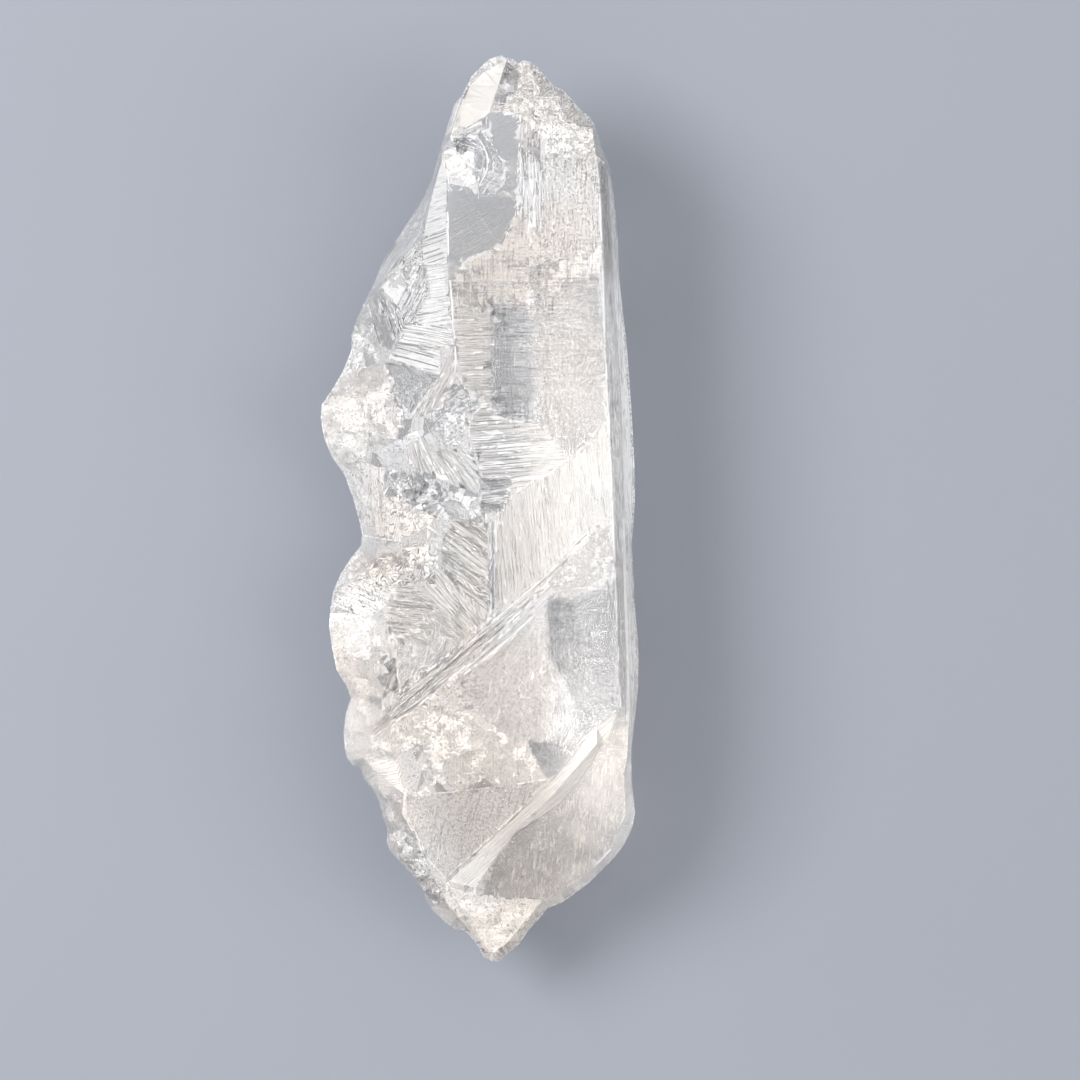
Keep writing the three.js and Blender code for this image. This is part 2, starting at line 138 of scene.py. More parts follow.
def depth_in(polygon, x, y):
    """How far each point lies inside a polygon, in mm. It is negative outside."""
    x, y = np.asarray(x, float), np.asarray(y, float)
    best, odd = np.full(x.shape, FAR), np.zeros(x.shape, bool)
    for (ax, ay), (bx, by) in zip(polygon, list(polygon[1:]) + [polygon[0]]):
        best = np.minimum(best, from_line((ax, ay), (bx, by), x, y))
        if by != ay:
            odd ^= ((ay > y) != (by > y)) & (x < (bx - ax) * (y - ay) / (by - ay) + ax)
    return np.where(odd, best, -best)


def sideways(run):
    """The way to the left of each run in plan, as a length of one."""
    return np.stack([-run[..., 1], run[..., 0]], -1) / (np.hypot(run[..., 0], run[..., 1])[..., None] + 1e-9)


# The crystal's zones, in the order in which they lie over each other. Each is an area of one finish, given by
# its corners in plan, and the kind says how its surface grew or broke:
#   steps    growth steps or striations, at an angle in degrees
#   rings    ripples round a centre, as in a shell-like break
#   rays     lines that spread from a centre
#   blocks   small square terraces, at an angle in degrees
#   hills    small angular hillocks
#   waves    soft swells
# Its shape: pitch is the mean spacing of its lines or swells, and height how high they are. wander is how far
# a line sways, and reach how far it goes before its height changes. fade is the width of the edge over which
# the relief comes in. sunk leaves hollows only. round is how much the corners of the CAD solid are rounded,
# from 0 to 1, plane levels them to one facet, and smooth shades it smoothly.
# Its finish: white counts from 0, glassy, to 3, white, and spread is how far it varies from place to place.
# line is how much clearer the risers of growth steps are than their treads, or, where it is below 0, how much
# whiter they are, a painted highlight where the risers catch the light.
# edge is the finish of a thin line along its edge, a white one being a painted highlight along the facet's
# edge, and ragged is how far the edge frays, with no row of points along it.
# warm, frost, lines, speckle, cross, crinkle and dusk are the marks above, where the zone has its own.
FRONT_ZONES = [
    dict(name="bend of the front face", kind="waves", area=[(-6.6, 53), (-7, 67), (30, 67), (30.6, 53)],
         pitch=4, height=0, round=1, frost=0.06),
    dict(name="point facet", kind="waves", area=[(2.6, 99.6), (4.9, 107), (6.9, 113.4), (4, 112.2),
         (1, 110.2), (-2.2, 107.6), (-4.4, 103), (-6.4, 96.6), (-3, 96.2), (0.5, 98.2)], pitch=6, height=0,
         frost=0.14, white=3, spread=0, speckle=0, lines=0, warm=0.5, plane=True, crinkle=0, smooth=True,
         painted_shade=0.13),
    dict(name="point top rim", kind="waves", area=[(6.9, 113.4), (6.4, 114.8), (2.4, 114), (0, 112),
         (-2, 109.8), (-3.4, 107.4), (-2.2, 107.6), (1, 110.2), (4, 112.2)], pitch=1.4, height=0.15,
         frost=0.1, white=2.1, spread=1.2, painted_shade=0.15),
    dict(name="point rim", kind="steps", area=[(-5.2, 95.6), (-4.8, 103), (-3, 107.4), (-4.6, 106),
         (-6.4, 103.6), (-7.6, 98), (-8.8, 95)], angle=74, pitch=0.9, height=0.25, frost=0.05, white=3.8,
         spread=0.6, lines=0.4),
    dict(name="steps under the point facet", kind="steps", area=[(-3, 96), (1.5, 98.3), (1.6, 95.4),
         (0, 92.5), (-3.2, 93.8)], angle=20, pitch=0.75, height=0.16, frost=0.02, white=2.2, spread=1.6),
    dict(name="point notch", kind="waves", area=[(3.6, 101.6), (5.1, 107), (6.8, 113.2), (8.6, 112.2),
         (10, 110), (9.8, 106.6), (8.6, 103.4), (6, 101.8)], pitch=2.2, height=0.7, frost=0.03, white=1.1,
         spread=1.8, painted_shade=0.18),
    dict(name="rough crown", kind="hills", area=[(8.6, 112.6), (12.5, 113.4), (15, 111), (18.5, 107),
         (21.5, 105.2), (25, 101.2), (28.3, 97.8), (29.4, 92), (29.2, 87), (22, 85), (15, 87), (10.3, 88),
         (10, 99), (7, 99.4), (3.8, 101.4), (6, 102.2), (8.8, 103.6), (9.9, 107), (10, 110)], pitch=1.15,
         height=0.42, frost=0.22, white=2.85, spread=2, warm=0.6, crinkle=0.8, ragged=1),
    dict(name="crown speckle", kind="steps", area=[(16, 89), (29.3, 89), (29.6, 84), (30.3, 60), (24, 63),
         (14, 61), (10.4, 66), (16, 70)], angle=90, pitch=0.55, height=0.06, frost=0.16, white=1.9,
         spread=0.8, reach=3, wander=0.5, line=0.5, speckle=1, lines=0.5, warm=1, ragged=1.6, fade=3),
    dict(name="crown streaks", kind="steps", area=[(10, 99.4), (16.5, 94), (16.5, 70), (13, 66),
         (10.2, 66)], angle=91, pitch=0.6, height=0.13, reach=5, wander=0.5, frost=0.12, white=1.9,
         spread=1.6, ragged=1),
    dict(name="clear window", kind="waves", area=[(1.7, 98.3), (3.6, 101), (7, 99.2), (9.9, 99), (9.9, 74),
         (8.5, 71), (6.4, 67), (3, 64.6), (-2, 63), (-5, 60), (-6.8, 57.2), (-7.6, 62), (-7.8, 80),
         (-3, 81.6), (0.4, 79), (4, 79.4), (6.4, 83), (6.4, 87), (2.6, 92)], pitch=7, height=0.05, frost=0,
         white=0.85, spread=0.2, speckle=0, lines=0, painted_shade=0.08, ragged=1.2, warm=0, crinkle=0),
    dict(name="bruise", kind="hills", area=[(-8.4, 93.6), (-5.4, 93), (-2, 90.4), (0.5, 88), (0.4, 81),
         (-3, 82), (-7.4, 84)], pitch=0.8, height=0.4, frost=0.4, white=2.6, spread=1.3, crinkle=0.2,
         ragged=2, fade=2, speckle=0.5, lines=0),
    dict(name="bruise pit", kind="waves", area=[(-6, 93.6), (-3.4, 93.4), (-2.4, 91), (-4.4, 89.6),
         (-6.4, 91)], pitch=1.1, height=0.8, frost=0, white=0.3, spread=1.5, sunk=True, crinkle=0.6,
         ragged=0.5, painted_shade=0.35),
    dict(name="bruise ripples", kind="rings", area=[(0.4, 95.5), (2.6, 92), (6.4, 87), (6.6, 82), (4, 79.4),
         (0.4, 79), (-0.8, 84), (-1.4, 90)], centre=(-7.4, 86.6), pitch=1.5, height=0.2, frost=0, white=1,
         spread=0.6, line=-1.6, wander=0.5, warm=0, painted_shade=0.18),
    dict(name="narrow face", kind="steps", area=[(-8.9, 91), (-8, 84), (-7.9, 62), (-13.9, 62),
         (-14.3, 68.4), (-12.9, 74), (-11.6, 79.6), (-9.8, 86)], angle=12, pitch=0.7, height=0.08,
         frost=0.1, white=3.6, spread=0.2, line=0.5, edge=3),
    dict(name="narrow face dark lines", kind="steps", area=[(-8.2, 70.5), (-8, 62.4), (-14, 62.4),
         (-14.4, 69)], angle=14, pitch=1.2, height=0.26, frost=0, white=3, spread=0.5, line=2.2, painted_shade=0),
    dict(name="narrow face foot", kind="steps", area=[(-7.7, 61.6), (-7.4, 55), (-6.8, 47), (-13.6, 46.6),
         (-18.6, 49), (-13, 54), (-13.8, 61.6)], angle=6, pitch=0.6, height=0.035, frost=0.24, white=3,
         spread=0.3, line=0.4, plane=True),
    dict(name="hatched shelf", kind="steps", area=[(-6.9, 46.8), (-6.2, 41.8), (-10, 41), (-20.4, 42.9),
         (-19.4, 47), (-13.4, 46.7)], angle=-13, pitch=0.8, height=0.16, wander=0.4, frost=0.02, white=3.1,
         spread=0.4, line=1.6, plane=True),
    dict(name="striped facet", kind="steps", area=[(-9.6, 40.6), (-9.7, 34.2), (-16.4, 36.4), (-22.9, 38.7),
         (-21.4, 42.3), (-15, 41.4)], angle=-16, pitch=1.3, height=0.26, frost=0.03, white=2.9, spread=0.3,
         line=2.4, edge=3, plane=True, painted_shade=0.1),
    dict(name="shoulder lines", kind="steps", area=[(-14.2, 74), (-14.2, 62), (-18.6, 62), (-25.2, 58.4),
         (-21.4, 64.4), (-17.6, 70)], angle=47, pitch=0.8, height=0.26, wander=0.7, frost=0.02, white=2.8,
         spread=1.6, crinkle=1, lines=1.1),
    dict(name="shoulder ripples", kind="steps", area=[(-13.3, 62), (-13.2, 54.2), (-15, 50.2), (-17, 47),
         (-19.4, 47.4), (-20.3, 52), (-17.8, 57), (-18.8, 61.6)], angle=63, pitch=0.8, height=0.3,
         wander=1.1, frost=0.04, white=2.8, spread=1.8, crinkle=1, lines=1.1),
    dict(name="shoulder patch", kind="waves", area=[(-24.8, 56.9), (-20.4, 61.3), (-19.1, 60.6),
         (-18.4, 57), (-20.6, 52.2)], pitch=3, height=0.08, frost=0.3, white=2.5, spread=0.5, crinkle=0.2,
         plane=True, painted_shade=0.02),
    dict(name="shoulder hollow", kind="steps", area=[(-28, 56), (-20.6, 51.4), (-18.6, 47.4), (-22.6, 41),
         (-27, 44), (-29.4, 50)], angle=108, pitch=2.1, height=0.4, wander=1.3, frost=0.02, round=0.6,
         white=1.9, spread=2.6, crinkle=1.2, lines=1.2, painted_shade=0),
    dict(name="outer shoulder", kind="waves", area=[(-32.6, 51), (-27, 57), (-27.6, 48), (-25.8, 43),
         (-25.4, 37), (-31, 33.6), (-35, 36.6)], pitch=1.5, height=0.7, frost=0.06, round=0.6, white=1.8,
         spread=2.4, crinkle=1.3),
    dict(name="grey window", kind="waves", area=[(-23.6, 37.8), (-10.2, 33.9), (-13.4, 29.6), (-17.2, 24.4),
         (-20, 28.4), (-23.4, 32)], pitch=6, height=0.05, frost=0, white=1, spread=0.2, speckle=0,
         lines=0.15, plane=True, painted_shade=0.26, crinkle=0.05),
    dict(name="satin strip", kind="steps", area=[(-10.2, 33.6), (-6.4, 41), (-5.9, 34), (-7.4, 28),
         (-9.6, 25.8), (-13.6, 24), (-16.8, 23.4), (-13.4, 28.4)], angle=64, pitch=0.55, height=0.045,
         frost=0.24, white=2.3, spread=0.6, plane=True, warm=0.6),
    dict(name="upper boss", kind="waves", area=[(-22.6, 36), (-29, 36.2), (-34, 33.4), (-38.4, 29),
         (-39.8, 24), (-38.6, 18), (-36, 13.4), (-33.4, 11), (-30, 13), (-26, 15.4), (-20.4, 18.8),
         (-18.8, 22.8), (-20.8, 28.2)], pitch=2.6, height=0.7, frost=0.18, round=0.3, white=1.95,
         spread=0.8, speckle=0.3, lines=0.12, crinkle=0.6, ragged=1, warm=0.7, painted_shade=0.1),
    dict(name="upper boss white side", kind="waves", area=[(-39.6, 24), (-34, 26.4), (-29.4, 25), (-31, 19),
         (-29.8, 13.4), (-33.4, 11), (-37, 14.8), (-39, 19)], pitch=3, height=0.35, frost=0.2, white=2.4,
         spread=1, round=0.8, speckle=0.5, lines=0.12, crinkle=0.6, ragged=1.5, warm=0.8, painted_shade=0.14),
    dict(name="pocket", kind="hills", area=[(-12.4, 20.6), (-8.6, 24.4), (-3.4, 24.4), (-3.4, 19),
         (-5.4, 16.6), (-9.4, 16.8)], pitch=1.2, height=0.5, frost=0.08, round=0.5, white=2.2, spread=1.4,
         crinkle=1),
    dict(name="pocket top", kind="steps", area=[(-9, 30), (-5.6, 32), (-3, 29.6), (-0.8, 25.4), (-4, 24.6),
         (-8.6, 25.4)], angle=38, pitch=1.3, height=0.34, wander=0.8, frost=0.05, white=2, spread=1.6,
         crinkle=0.8),
    dict(name="fan", kind="rays", area=[(-15, 18.6), (-10.4, 15.2), (-4.4, 15.8), (-0.4, 12.6), (0.5, 6),
         (-1, 4.6), (-8.6, 7.6), (-18.6, 12.4), (-18, 15.6)], centre=(-20.5, 30), pitch=0.75, height=0.22,
         frost=0.06, white=2.3, spread=0.6, line=2, warm=0.6),
    dict(name="rippled pocket", kind="waves", area=[(-23.2, 11), (-9.8, 7.4), (-7.8, 5), (-13.4, 1.4),
         (-21.6, 4.4), (-24.4, 8)], pitch=1.3, height=0.45, frost=0, white=1.5, spread=2.6, crinkle=1.4,
         painted_shade=0),
    dict(name="neck", kind="waves", area=[(-25, 4.6), (-21.4, 3.6), (-13.2, 0.4), (-10.6, -1.8), (-13, -4),
         (-20, -7), (-26, -6.4), (-29.8, -3), (-31, 4), (-31.4, 10)], pitch=1.9, height=0.3, frost=0.26,
         round=0.7, white=2.9, spread=1, lines=0.1, crinkle=1, ragged=1.2, warm=0.8),
    dict(name="neck folds", kind="steps", area=[(-24, 11), (-25, -4), (-29.4, -5), (-31, 3), (-33.6, 11.6),
         (-29, 12.4)], angle=97, pitch=2.2, height=0.4, wander=1.2, frost=0.1, round=0.7, crinkle=1,
         white=3, spread=0.8, warm=0.9, lines=0.25),
    dict(name="beige terraces", kind="blocks", area=[(-6.9, 56.4), (-4.8, 59.6), (-2, 62.7), (3, 64.3),
         (6.4, 66.7), (8.6, 70.8), (10, 73.8), (13.5, 64), (13, 50), (-6.3, 50)], pitch=1, height=0.09,
         frost=0.14, white=1.8, spread=0.9, warm=1.3, ragged=2.6, fade=4),
    dict(name="fine ladder", kind="steps", area=[(-6.1, 49.8), (3.4, 49.8), (3.5, 29.4), (2.4, 28.6),
         (-2, 29.6), (-5, 34)], angle=1, pitch=0.55, height=0.07, reach=5, frost=0.14, white=2.2,
         spread=0.5, line=0.9, warm=0.8, ragged=2.4, fade=3),
    dict(name="grey uprights", kind="blocks", area=[(3.4, 52), (9, 51), (13, 50), (14.4, 43.6), (15.4, 36),
         (14, 29), (13, 22), (4.6, 22.4)], pitch=1.4, height=0.035, frost=0.06, white=1.05, spread=1.2,
         ragged=4, speckle=0, fade=4, line=0.5, lines=1.3, cross=1.1, painted_shade=0.1, warm=0.3, crinkle=0),
    dict(name="right terraces", kind="blocks", area=[(13.2, 62), (24, 63), (30.3, 61), (31, 45),
         (31.6, 30.6), (15, 29.6), (13.6, 44)], pitch=0.8, height=0.085, frost=0.2, white=1.3, spread=1.6,
         warm=0.9, speckle=0.7, ragged=3, fade=3, painted_shade=0.1, crinkle=0.2, lines=0.7, cross=0.9),
    dict(name="white patch", kind="blocks", area=[(16, 55.8), (20, 58), (25, 58.8), (30, 60), (30.2, 66),
         (24, 63.6), (18, 60)], pitch=0.9, height=0.06, frost=0.2, white=2.9, spread=1, warm=0.8, ragged=3,
         fade=4),
    dict(name="right lawn", kind="steps", area=[(14.8, 29.6), (31.6, 30.6), (32, 22.8), (27.4, 17),
         (22.4, 12.8), (21, 15.8), (15, 21.6)], angle=92, pitch=0.7, height=0.05, frost=0.24, white=1.05,
         spread=0.7, warm=0.9, line=1, ragged=1.6, fade=2, reach=30, lines=0.8, painted_shade=0.08, cross=0.4),
    dict(name="lens band", kind="steps", area=[(-1.6, 24), (2.4, 28.4), (4.2, 24), (13, 21.8), (15, 21.6),
         (21, 15.8), (22.3, 12.6), (17.4, 9), (12.6, 6.6), (8, 3.4), (8.2, 8.6), (0.9, 8.2), (-0.6, 13.6),
         (-2.6, 20)], angle=4.5, pitch=0.95, height=0.2, reach=14, frost=0.05, white=2.4, spread=0.6,
         line=2.4, edge=3, warm=0.8, painted_shade=0.05),
    dict(name="dark ladder", kind="steps", area=[(0.7, 8), (8.2, 8.5), (8, 5), (8.2, 3.6), (5, 0),
         (0.6, -1)], angle=7, pitch=0.7, height=0.3, frost=0, white=1.7, spread=1.8, lines=1.4),
    dict(name="white lawn", kind="steps", area=[(8, 3), (12.6, 6.2), (17.4, 8.8), (22.4, 12.2),
         (27.4, 16.6), (32, 22.6), (32.9, 8), (33.6, -2), (29.8, -2.6), (25, -6), (20, -11.8), (15, -16.2),
         (9.6, -20.6), (5, -24.6), (4.9, -3)], angle=95, pitch=0.62, height=0.06, reach=30, frost=0.2,
         white=2.2, spread=0.5, line=1.4, warm=0.8, lines=0.6, painted_shade=0.05),
    dict(name="upright strip", kind="steps", area=[(2.9, -3), (4.1, -2.4), (4.2, -24.6), (3, -25.8)],
         angle=90, pitch=0.55, height=0.14, frost=0, white=1.2, spread=1.2, edge=3, painted_shade=0.25),
    dict(name="hatched triangle", kind="steps", area=[(2.2, -3.2), (2.4, -25.4), (-3.4, -20.8),
         (-9.6, -12.4), (-8.8, -7), (-6.8, -2.4)], angle=-35, pitch=0.5, height=0.12, frost=0.04,
         white=1.45, spread=0.7, cross=0, line=-1.2, plane=True, warm=1, painted_shade=0.03, lines=0.8),
    dict(name="feathered slope", kind="rays", area=[(-10.4, -13), (-4.2, -21.4), (2.2, -27), (-3, -31.6),
         (-9.6, -24.4), (-20, -30), (-16, -19), (-11, -18.4)], centre=(6, -38), pitch=0.7, height=0.24,
         frost=0.08, white=2.2, spread=0.7, line=-1.1, warm=1, painted_shade=0.06, lines=0.9),
    dict(name="lower middle", kind="waves", area=[(-3.6, -32), (-10, -37), (-20, -44.8), (-20.8, -37.4),
         (-18, -31.4), (-13.6, -27), (-10, -24.6)], pitch=3.4, height=0.35, frost=0.1, round=1, white=2,
         spread=0.3, speckle=0.4, lines=0.2, crinkle=0.15, ragged=0, painted_shade=0.32, warm=1),
    dict(name="long ledge", kind="steps", area=[(28.6, -3.6), (25, -7), (20, -13), (15, -17.6), (10, -22),
         (2.9, -28), (-3, -33.6), (-10, -39), (-20, -47), (-28, -56), (-26.6, -57.4), (-21, -52.2),
         (-15, -47.8), (-5, -39.4), (3, -32.6), (8, -27.6), (13, -22.6), (18, -17), (22, -12.4),
         (26, -7.6)], angle=41, pitch=0.45, height=0.16, reach=30, frost=0.05, white=2.1, spread=0.6,
         line=1.5, wander=0.06, edge=3, lines=1.2, warm=0.9),
    dict(name="ledge lines", kind="steps", area=[(17.6, -18.6), (13, -23.6), (3, -33.6), (-5, -40.6),
         (-3, -43), (6, -36), (15, -26), (20, -19)], angle=42, pitch=0.5, height=0.12, reach=16, frost=0.04,
         white=2.4, spread=0.6, painted_shade=0.06),
    dict(name="ledge head", kind="hills", area=[(18, -16.4), (26.6, -8.6), (30, -4), (33.6, -5),
         (33.8, -15), (24, -21), (19, -22)], pitch=0.85, height=0.16, frost=0.2, white=1.2, spread=1.2,
         ragged=0.8, crinkle=0.8, warm=0.8, painted_shade=0.05),
    dict(name="lower boss", kind="waves", area=[(-26.4, -12), (-13.6, -8), (-10.6, -12.4), (-16.6, -18),
         (-21, -18.4), (-25.4, -19), (-28, -16.8), (-33.6, -17.4), (-34, -13), (-31, -10.4)], pitch=1.6,
         height=0.55, frost=0.1, round=0.5, white=2.4, spread=2.4, lines=0.15, crinkle=1.5, ragged=1,
         warm=0.9),
    dict(name="boss band", kind="steps", area=[(-36.6, -19.6), (-28, -16.8), (-25.4, -19.6), (-21.2, -19.4),
         (-23.6, -24), (-27.6, -27), (-37.4, -24)], angle=-24, pitch=0.7, height=0.14, wander=0.5,
         frost=0.2, white=2.9, spread=0.3, crinkle=1, lines=0.5, plane=True, warm=0.8),
    dict(name="boss hatch", kind="steps", area=[(-21, -19), (-16, -18.6), (-10.6, -23.8), (-13.8, -27),
         (-18, -31.6), (-23, -31), (-24, -25)], angle=-6, pitch=0.5, height=0.32, wander=0.5, frost=0,
         white=1.8, spread=0.9, line=-1.2, crinkle=0.4, ragged=0.6, painted_shade=0.02, warm=0.9),
    dict(name="boss flank", kind="waves", area=[(-37.6, -25), (-27.6, -27.6), (-24, -32), (-25.4, -43),
         (-28, -49), (-33, -47), (-36.4, -39)], pitch=2.8, height=0.4, frost=0.2, round=0.7, white=2.4,
         spread=0.6, lines=0.15, crinkle=0.7, ragged=1.2, warm=1, painted_shade=0.02),
    dict(name="boss sliver", kind="steps", area=[(-21.2, -36), (-20.4, -45), (-24.2, -47.6), (-24.4, -42)],
         angle=74, pitch=0.8, height=0.8, frost=0, white=1, spread=1.6, ragged=0.4, painted_shade=0.1, warm=1),
    dict(name="mottled apron", kind="waves", area=[(-28, -58.6), (-21, -53), (-15, -49), (-5, -41),
         (-3, -49), (-13, -59.4), (-21, -60), (-19, -70), (-27.6, -70.4), (-33, -61)], pitch=2.3,
         height=0.4, frost=0.2, white=2.3, spread=0.7, speckle=0.5, crinkle=0.7, ragged=1.2, lines=0.2,
         warm=1),
    dict(name="apron ladder", kind="steps", area=[(-30.6, -63.6), (-20, -62.6), (-19.6, -69.6),
         (-27.6, -70)], angle=13, pitch=0.95, height=0.3, wander=0.5, frost=0.08, white=3.4, spread=0.6,
         ragged=0.5, line=1.2, lines=0.3, crinkle=0.2),
    dict(name="sparkling patch", kind="waves", area=[(-12, -58), (-4, -50), (6, -48), (12, -56), (16, -66),
         (0, -68.6), (-14, -69.4)], pitch=2.6, height=0.35, frost=0.24, white=2.3, spread=0.8, speckle=0.6,
         crinkle=0.25, ragged=2.4, lines=0.3, fade=3, painted_shade=0, warm=1),
    dict(name="dome", kind="waves", area=[(-4, -41.6), (4, -36), (14, -27), (22, -20), (24, -40),
         (24.4, -52), (19, -58), (8, -57), (-3, -48)], pitch=3.2, height=0.3, frost=0.14, round=1,
         white=2.1, spread=0.35, speckle=0.7, lines=0.3, crinkle=0.1, ragged=0.8, painted_shade=0.18, warm=1),
    dict(name="window frame", kind="waves", area=[(17.4, -22), (24, -22), (34, -18), (35, -46), (26, -50),
         (17.6, -36)], pitch=4, height=0.1, frost=0.02, white=0.2, spread=0.6, ragged=0.6, lines=1.1,
         painted_shade=0.25, warm=0.2, crinkle=0.1, cross=0.5),
    dict(name="dark pane", kind="waves", area=[(18, -22.6), (23.6, -22.6), (23.8, -32.6), (18.4, -32.8)],
         pitch=4, height=0.04, frost=0, white=0, spread=0, lines=0.8, speckle=0, painted_shade=0.65, warm=0.2,
         ragged=0, crinkle=0),
    dict(name="foot front", kind="steps", area=[(-18.4, -71.6), (-8, -70.6), (8, -68.6), (17.6, -67),
         (10, -75.4), (0, -85), (-8.4, -93), (-13, -88), (-15.2, -83), (-18.6, -76.4)], angle=77, pitch=0.5,
         height=0.05, reach=4, frost=0.26, white=1.9, spread=0.4, speckle=0.8, lines=0.45, warm=1, edge=3,
         plane=True, line=0.6, painted_shade=0.06),
    dict(name="window foot", kind="blocks", area=[(24.4, -48), (35, -48), (34.4, -51), (29, -55), (25, -60),
         (20, -65.6), (16.6, -66), (12.6, -58), (20, -57.6), (24, -53)], angle=44, pitch=1.6, height=0.12,
         frost=0.1, white=0.4, spread=0.8, speckle=0.3, painted_shade=0.45, warm=0.6),
    dict(name="leaf band", kind="steps", area=[(34.6, -50.4), (29.4, -54.4), (19.6, -66.4), (10, -76.2),
         (0, -85.8), (-7.6, -93.6), (-1, -95.2), (5, -86), (10, -80.4), (15, -77.2), (20, -73.6),
         (24.6, -68.6), (28, -63.6), (33, -55)], angle=43, pitch=0.6, height=0.1, reach=18, frost=0.1,
         white=2.9, spread=0.35, line=0.5, wander=0.15, warm=0.8, edge=3, lines=0.3, painted_shade=0.08),
    dict(name="foot right", kind="steps", area=[(36.4, -52), (33.6, -55.4), (28.4, -64), (20.4, -74.2),
         (15, -78), (10, -81.4), (5, -87), (1.4, -92.4), (0.6, -100), (15.6, -99), (27, -91.6), (33, -85),
         (36.6, -76), (36.2, -64)], angle=84, pitch=0.55, height=0.03, reach=5, frost=0.22, white=1.42,
         spread=0.15, speckle=1, lines=0.45, warm=1, line=0.3, painted_shade=0.1, crinkle=0.2),
    dict(name="foot right swells", kind="waves", area=[(34, -60), (20, -76), (4, -90), (2, -99), (16, -98),
         (30, -87), (36, -72)], pitch=7, height=0.4, frost=0),
    dict(name="foot left", kind="waves", area=[(-25.4, -72), (-19.4, -71.6), (-19.6, -76), (-16, -83),
         (-13.8, -89), (-10.6, -95), (-8.8, -99), (-12.4, -100), (-17, -92), (-22.6, -85)], pitch=2.2,
         height=1.2, frost=0.02, white=1.9, spread=4, crinkle=2, speckle=0.2, warm=0.8),
    dict(name="tip", kind="waves", area=[(-8.2, -98.6), (-5.8, -103), (0, -111), (3.4, -113), (8, -109),
         (12, -103.6), (16, -99.4), (0, -97), (-8, -94.4)], pitch=2, height=0.55, frost=0.24, round=1,
         white=2.9, spread=0.9, warm=1, lines=0.1, speckle=0.5, crinkle=0.5, ragged=1.1, fade=3),
    dict(name="upper left bevel", kind="steps", area=[(-9.8, 90), (-13.6, 80.6), (-19, 72.4), (-24.6, 63.4),
         (-27.8, 57), (-25, 59), (-20, 65), (-15.2, 70), (-13.2, 77), (-11, 84.6)], angle=59, pitch=1.3,
         height=0.05, reach=20, frost=0.03, white=2.35, spread=0.4, speckle=0.15, lines=0.25, edge=3),
    dict(name="right side dark strip", kind="steps", area=[(30.4, 89), (31.9, 86), (32.8, 78), (33.6, 60),
         (34.6, 45), (35.7, 25), (36.3, 3), (35.9, -10), (37, -40), (36.7, -49), (34.6, -49), (34.2, 0),
         (32.4, 37), (30.9, 80)], angle=-87.6, pitch=0.6, height=0.14, reach=30, wander=0.12, frost=0.02,
         white=0.9, spread=2, lines=1.8, line=1, painted_shade=0.05),
    dict(name="right side white strip", kind="steps", area=[(32.1, 86), (33.4, 84), (34.6, 70), (35.9, 50),
         (38, 25), (38.8, 3), (38.2, -10), (39.6, -35), (38.4, -60), (37, -50), (37.2, -40), (36.1, -10),
         (36.5, 3), (35.9, 25), (34.8, 45), (33.8, 60), (33, 78)], angle=-87.6, pitch=0.7, height=0.12,
         reach=30, wander=0.12, frost=0.2, white=3.8, spread=0.8, lines=0.5, edge=3),
]
BACK_ZONES = [
    dict(name="right back face", kind="steps", area=[(12.6, 60), (23.6, 88), (32, 88), (34, 70), (38, 25),
         (38, -4), (39, -35), (37, -52), (37, -76), (30, -68), (24, -58), (18.6, -47), (16, 0)], angle=0.6,
         pitch=1.3, height=0.1, reach=9, frost=0.05, white=0.2, spread=0.5, line=-0.6, speckle=0.1),
    dict(name="right back terraces", kind="blocks", area=[(15, 40), (34, 44), (37, 10), (37, -20),
         (18, -10)], pitch=4.2, height=0.16, frost=0, lines=0.2, cross=0.2, speckle=0.1),
    dict(name="left back face", kind="steps", area=[(-22.6, 61), (-26, 61), (-31.6, 46), (-34, 37),
         (-39, 27), (-38, 18), (-31, 3), (-30, -5), (-37, -24), (-36, -38), (-33, -56), (-29, -62),
         (-22.6, -42)], angle=-0.6, pitch=1.1, height=0.09, reach=8, frost=0.02, white=0.3, spread=1.1,
         line=0.8, lines=0.6, speckle=0.05),
    dict(name="back of the point", kind="blocks", area=[(-21, 62), (11, 62), (23, 90), (13, 111), (2, 112),
         (-6, 100), (-14, 80)], angle=30, pitch=3.4, height=0.05, frost=0.01, white=0.2, spread=0.4,
         speckle=0.05, lines=0.1, cross=0.1),
    dict(name="back right of the point", kind="hills", area=[(24.6, 91.4), (31, 91.4), (28.4, 97),
         (22, 104), (14.6, 111), (20, 101)], pitch=0.9, height=0.12, frost=0.1, white=0.9, spread=1.3,
         crinkle=0.6),
    dict(name="foot break", kind="rings", area=[(4, -61), (17, -73), (26, -84), (14, -98), (3, -110),
         (-6, -103), (-15, -92), (-21, -80), (-20, -62), (-9, -59)], centre=(2, -52), pitch=3.2, height=1,
         frost=0.01, round=1, smooth=True, white=0.15, spread=0.9, speckle=0.05, line=1.2, lines=0),
    dict(name="foot break left", kind="hills", area=[(-22.6, -44), (-28, -59), (-29, -68), (-23, -82),
         (-20, -88), (-19, -66)], pitch=1.7, height=0.5, frost=0.02, round=0.5, white=0.5, spread=1.4,
         crinkle=0.3, speckle=0.1),
    dict(name="foot break right", kind="waves", area=[(19, -50), (24, -61), (30, -71), (36, -82), (30, -89),
         (20, -97), (16, -78)], pitch=5, height=0.9, frost=0.01, round=1, smooth=True, white=0.2,
         spread=0.8, crinkle=0.1, speckle=0.05),
    dict(name="resting face etching", kind="blocks", area=[(-19, 56), (9.6, 56), (13, 0), (14.6, -44),
         (2, -55), (-15, -47), (-19.6, -38)], pitch=3.8, height=0.07, frost=0.03, sunk=True),
]


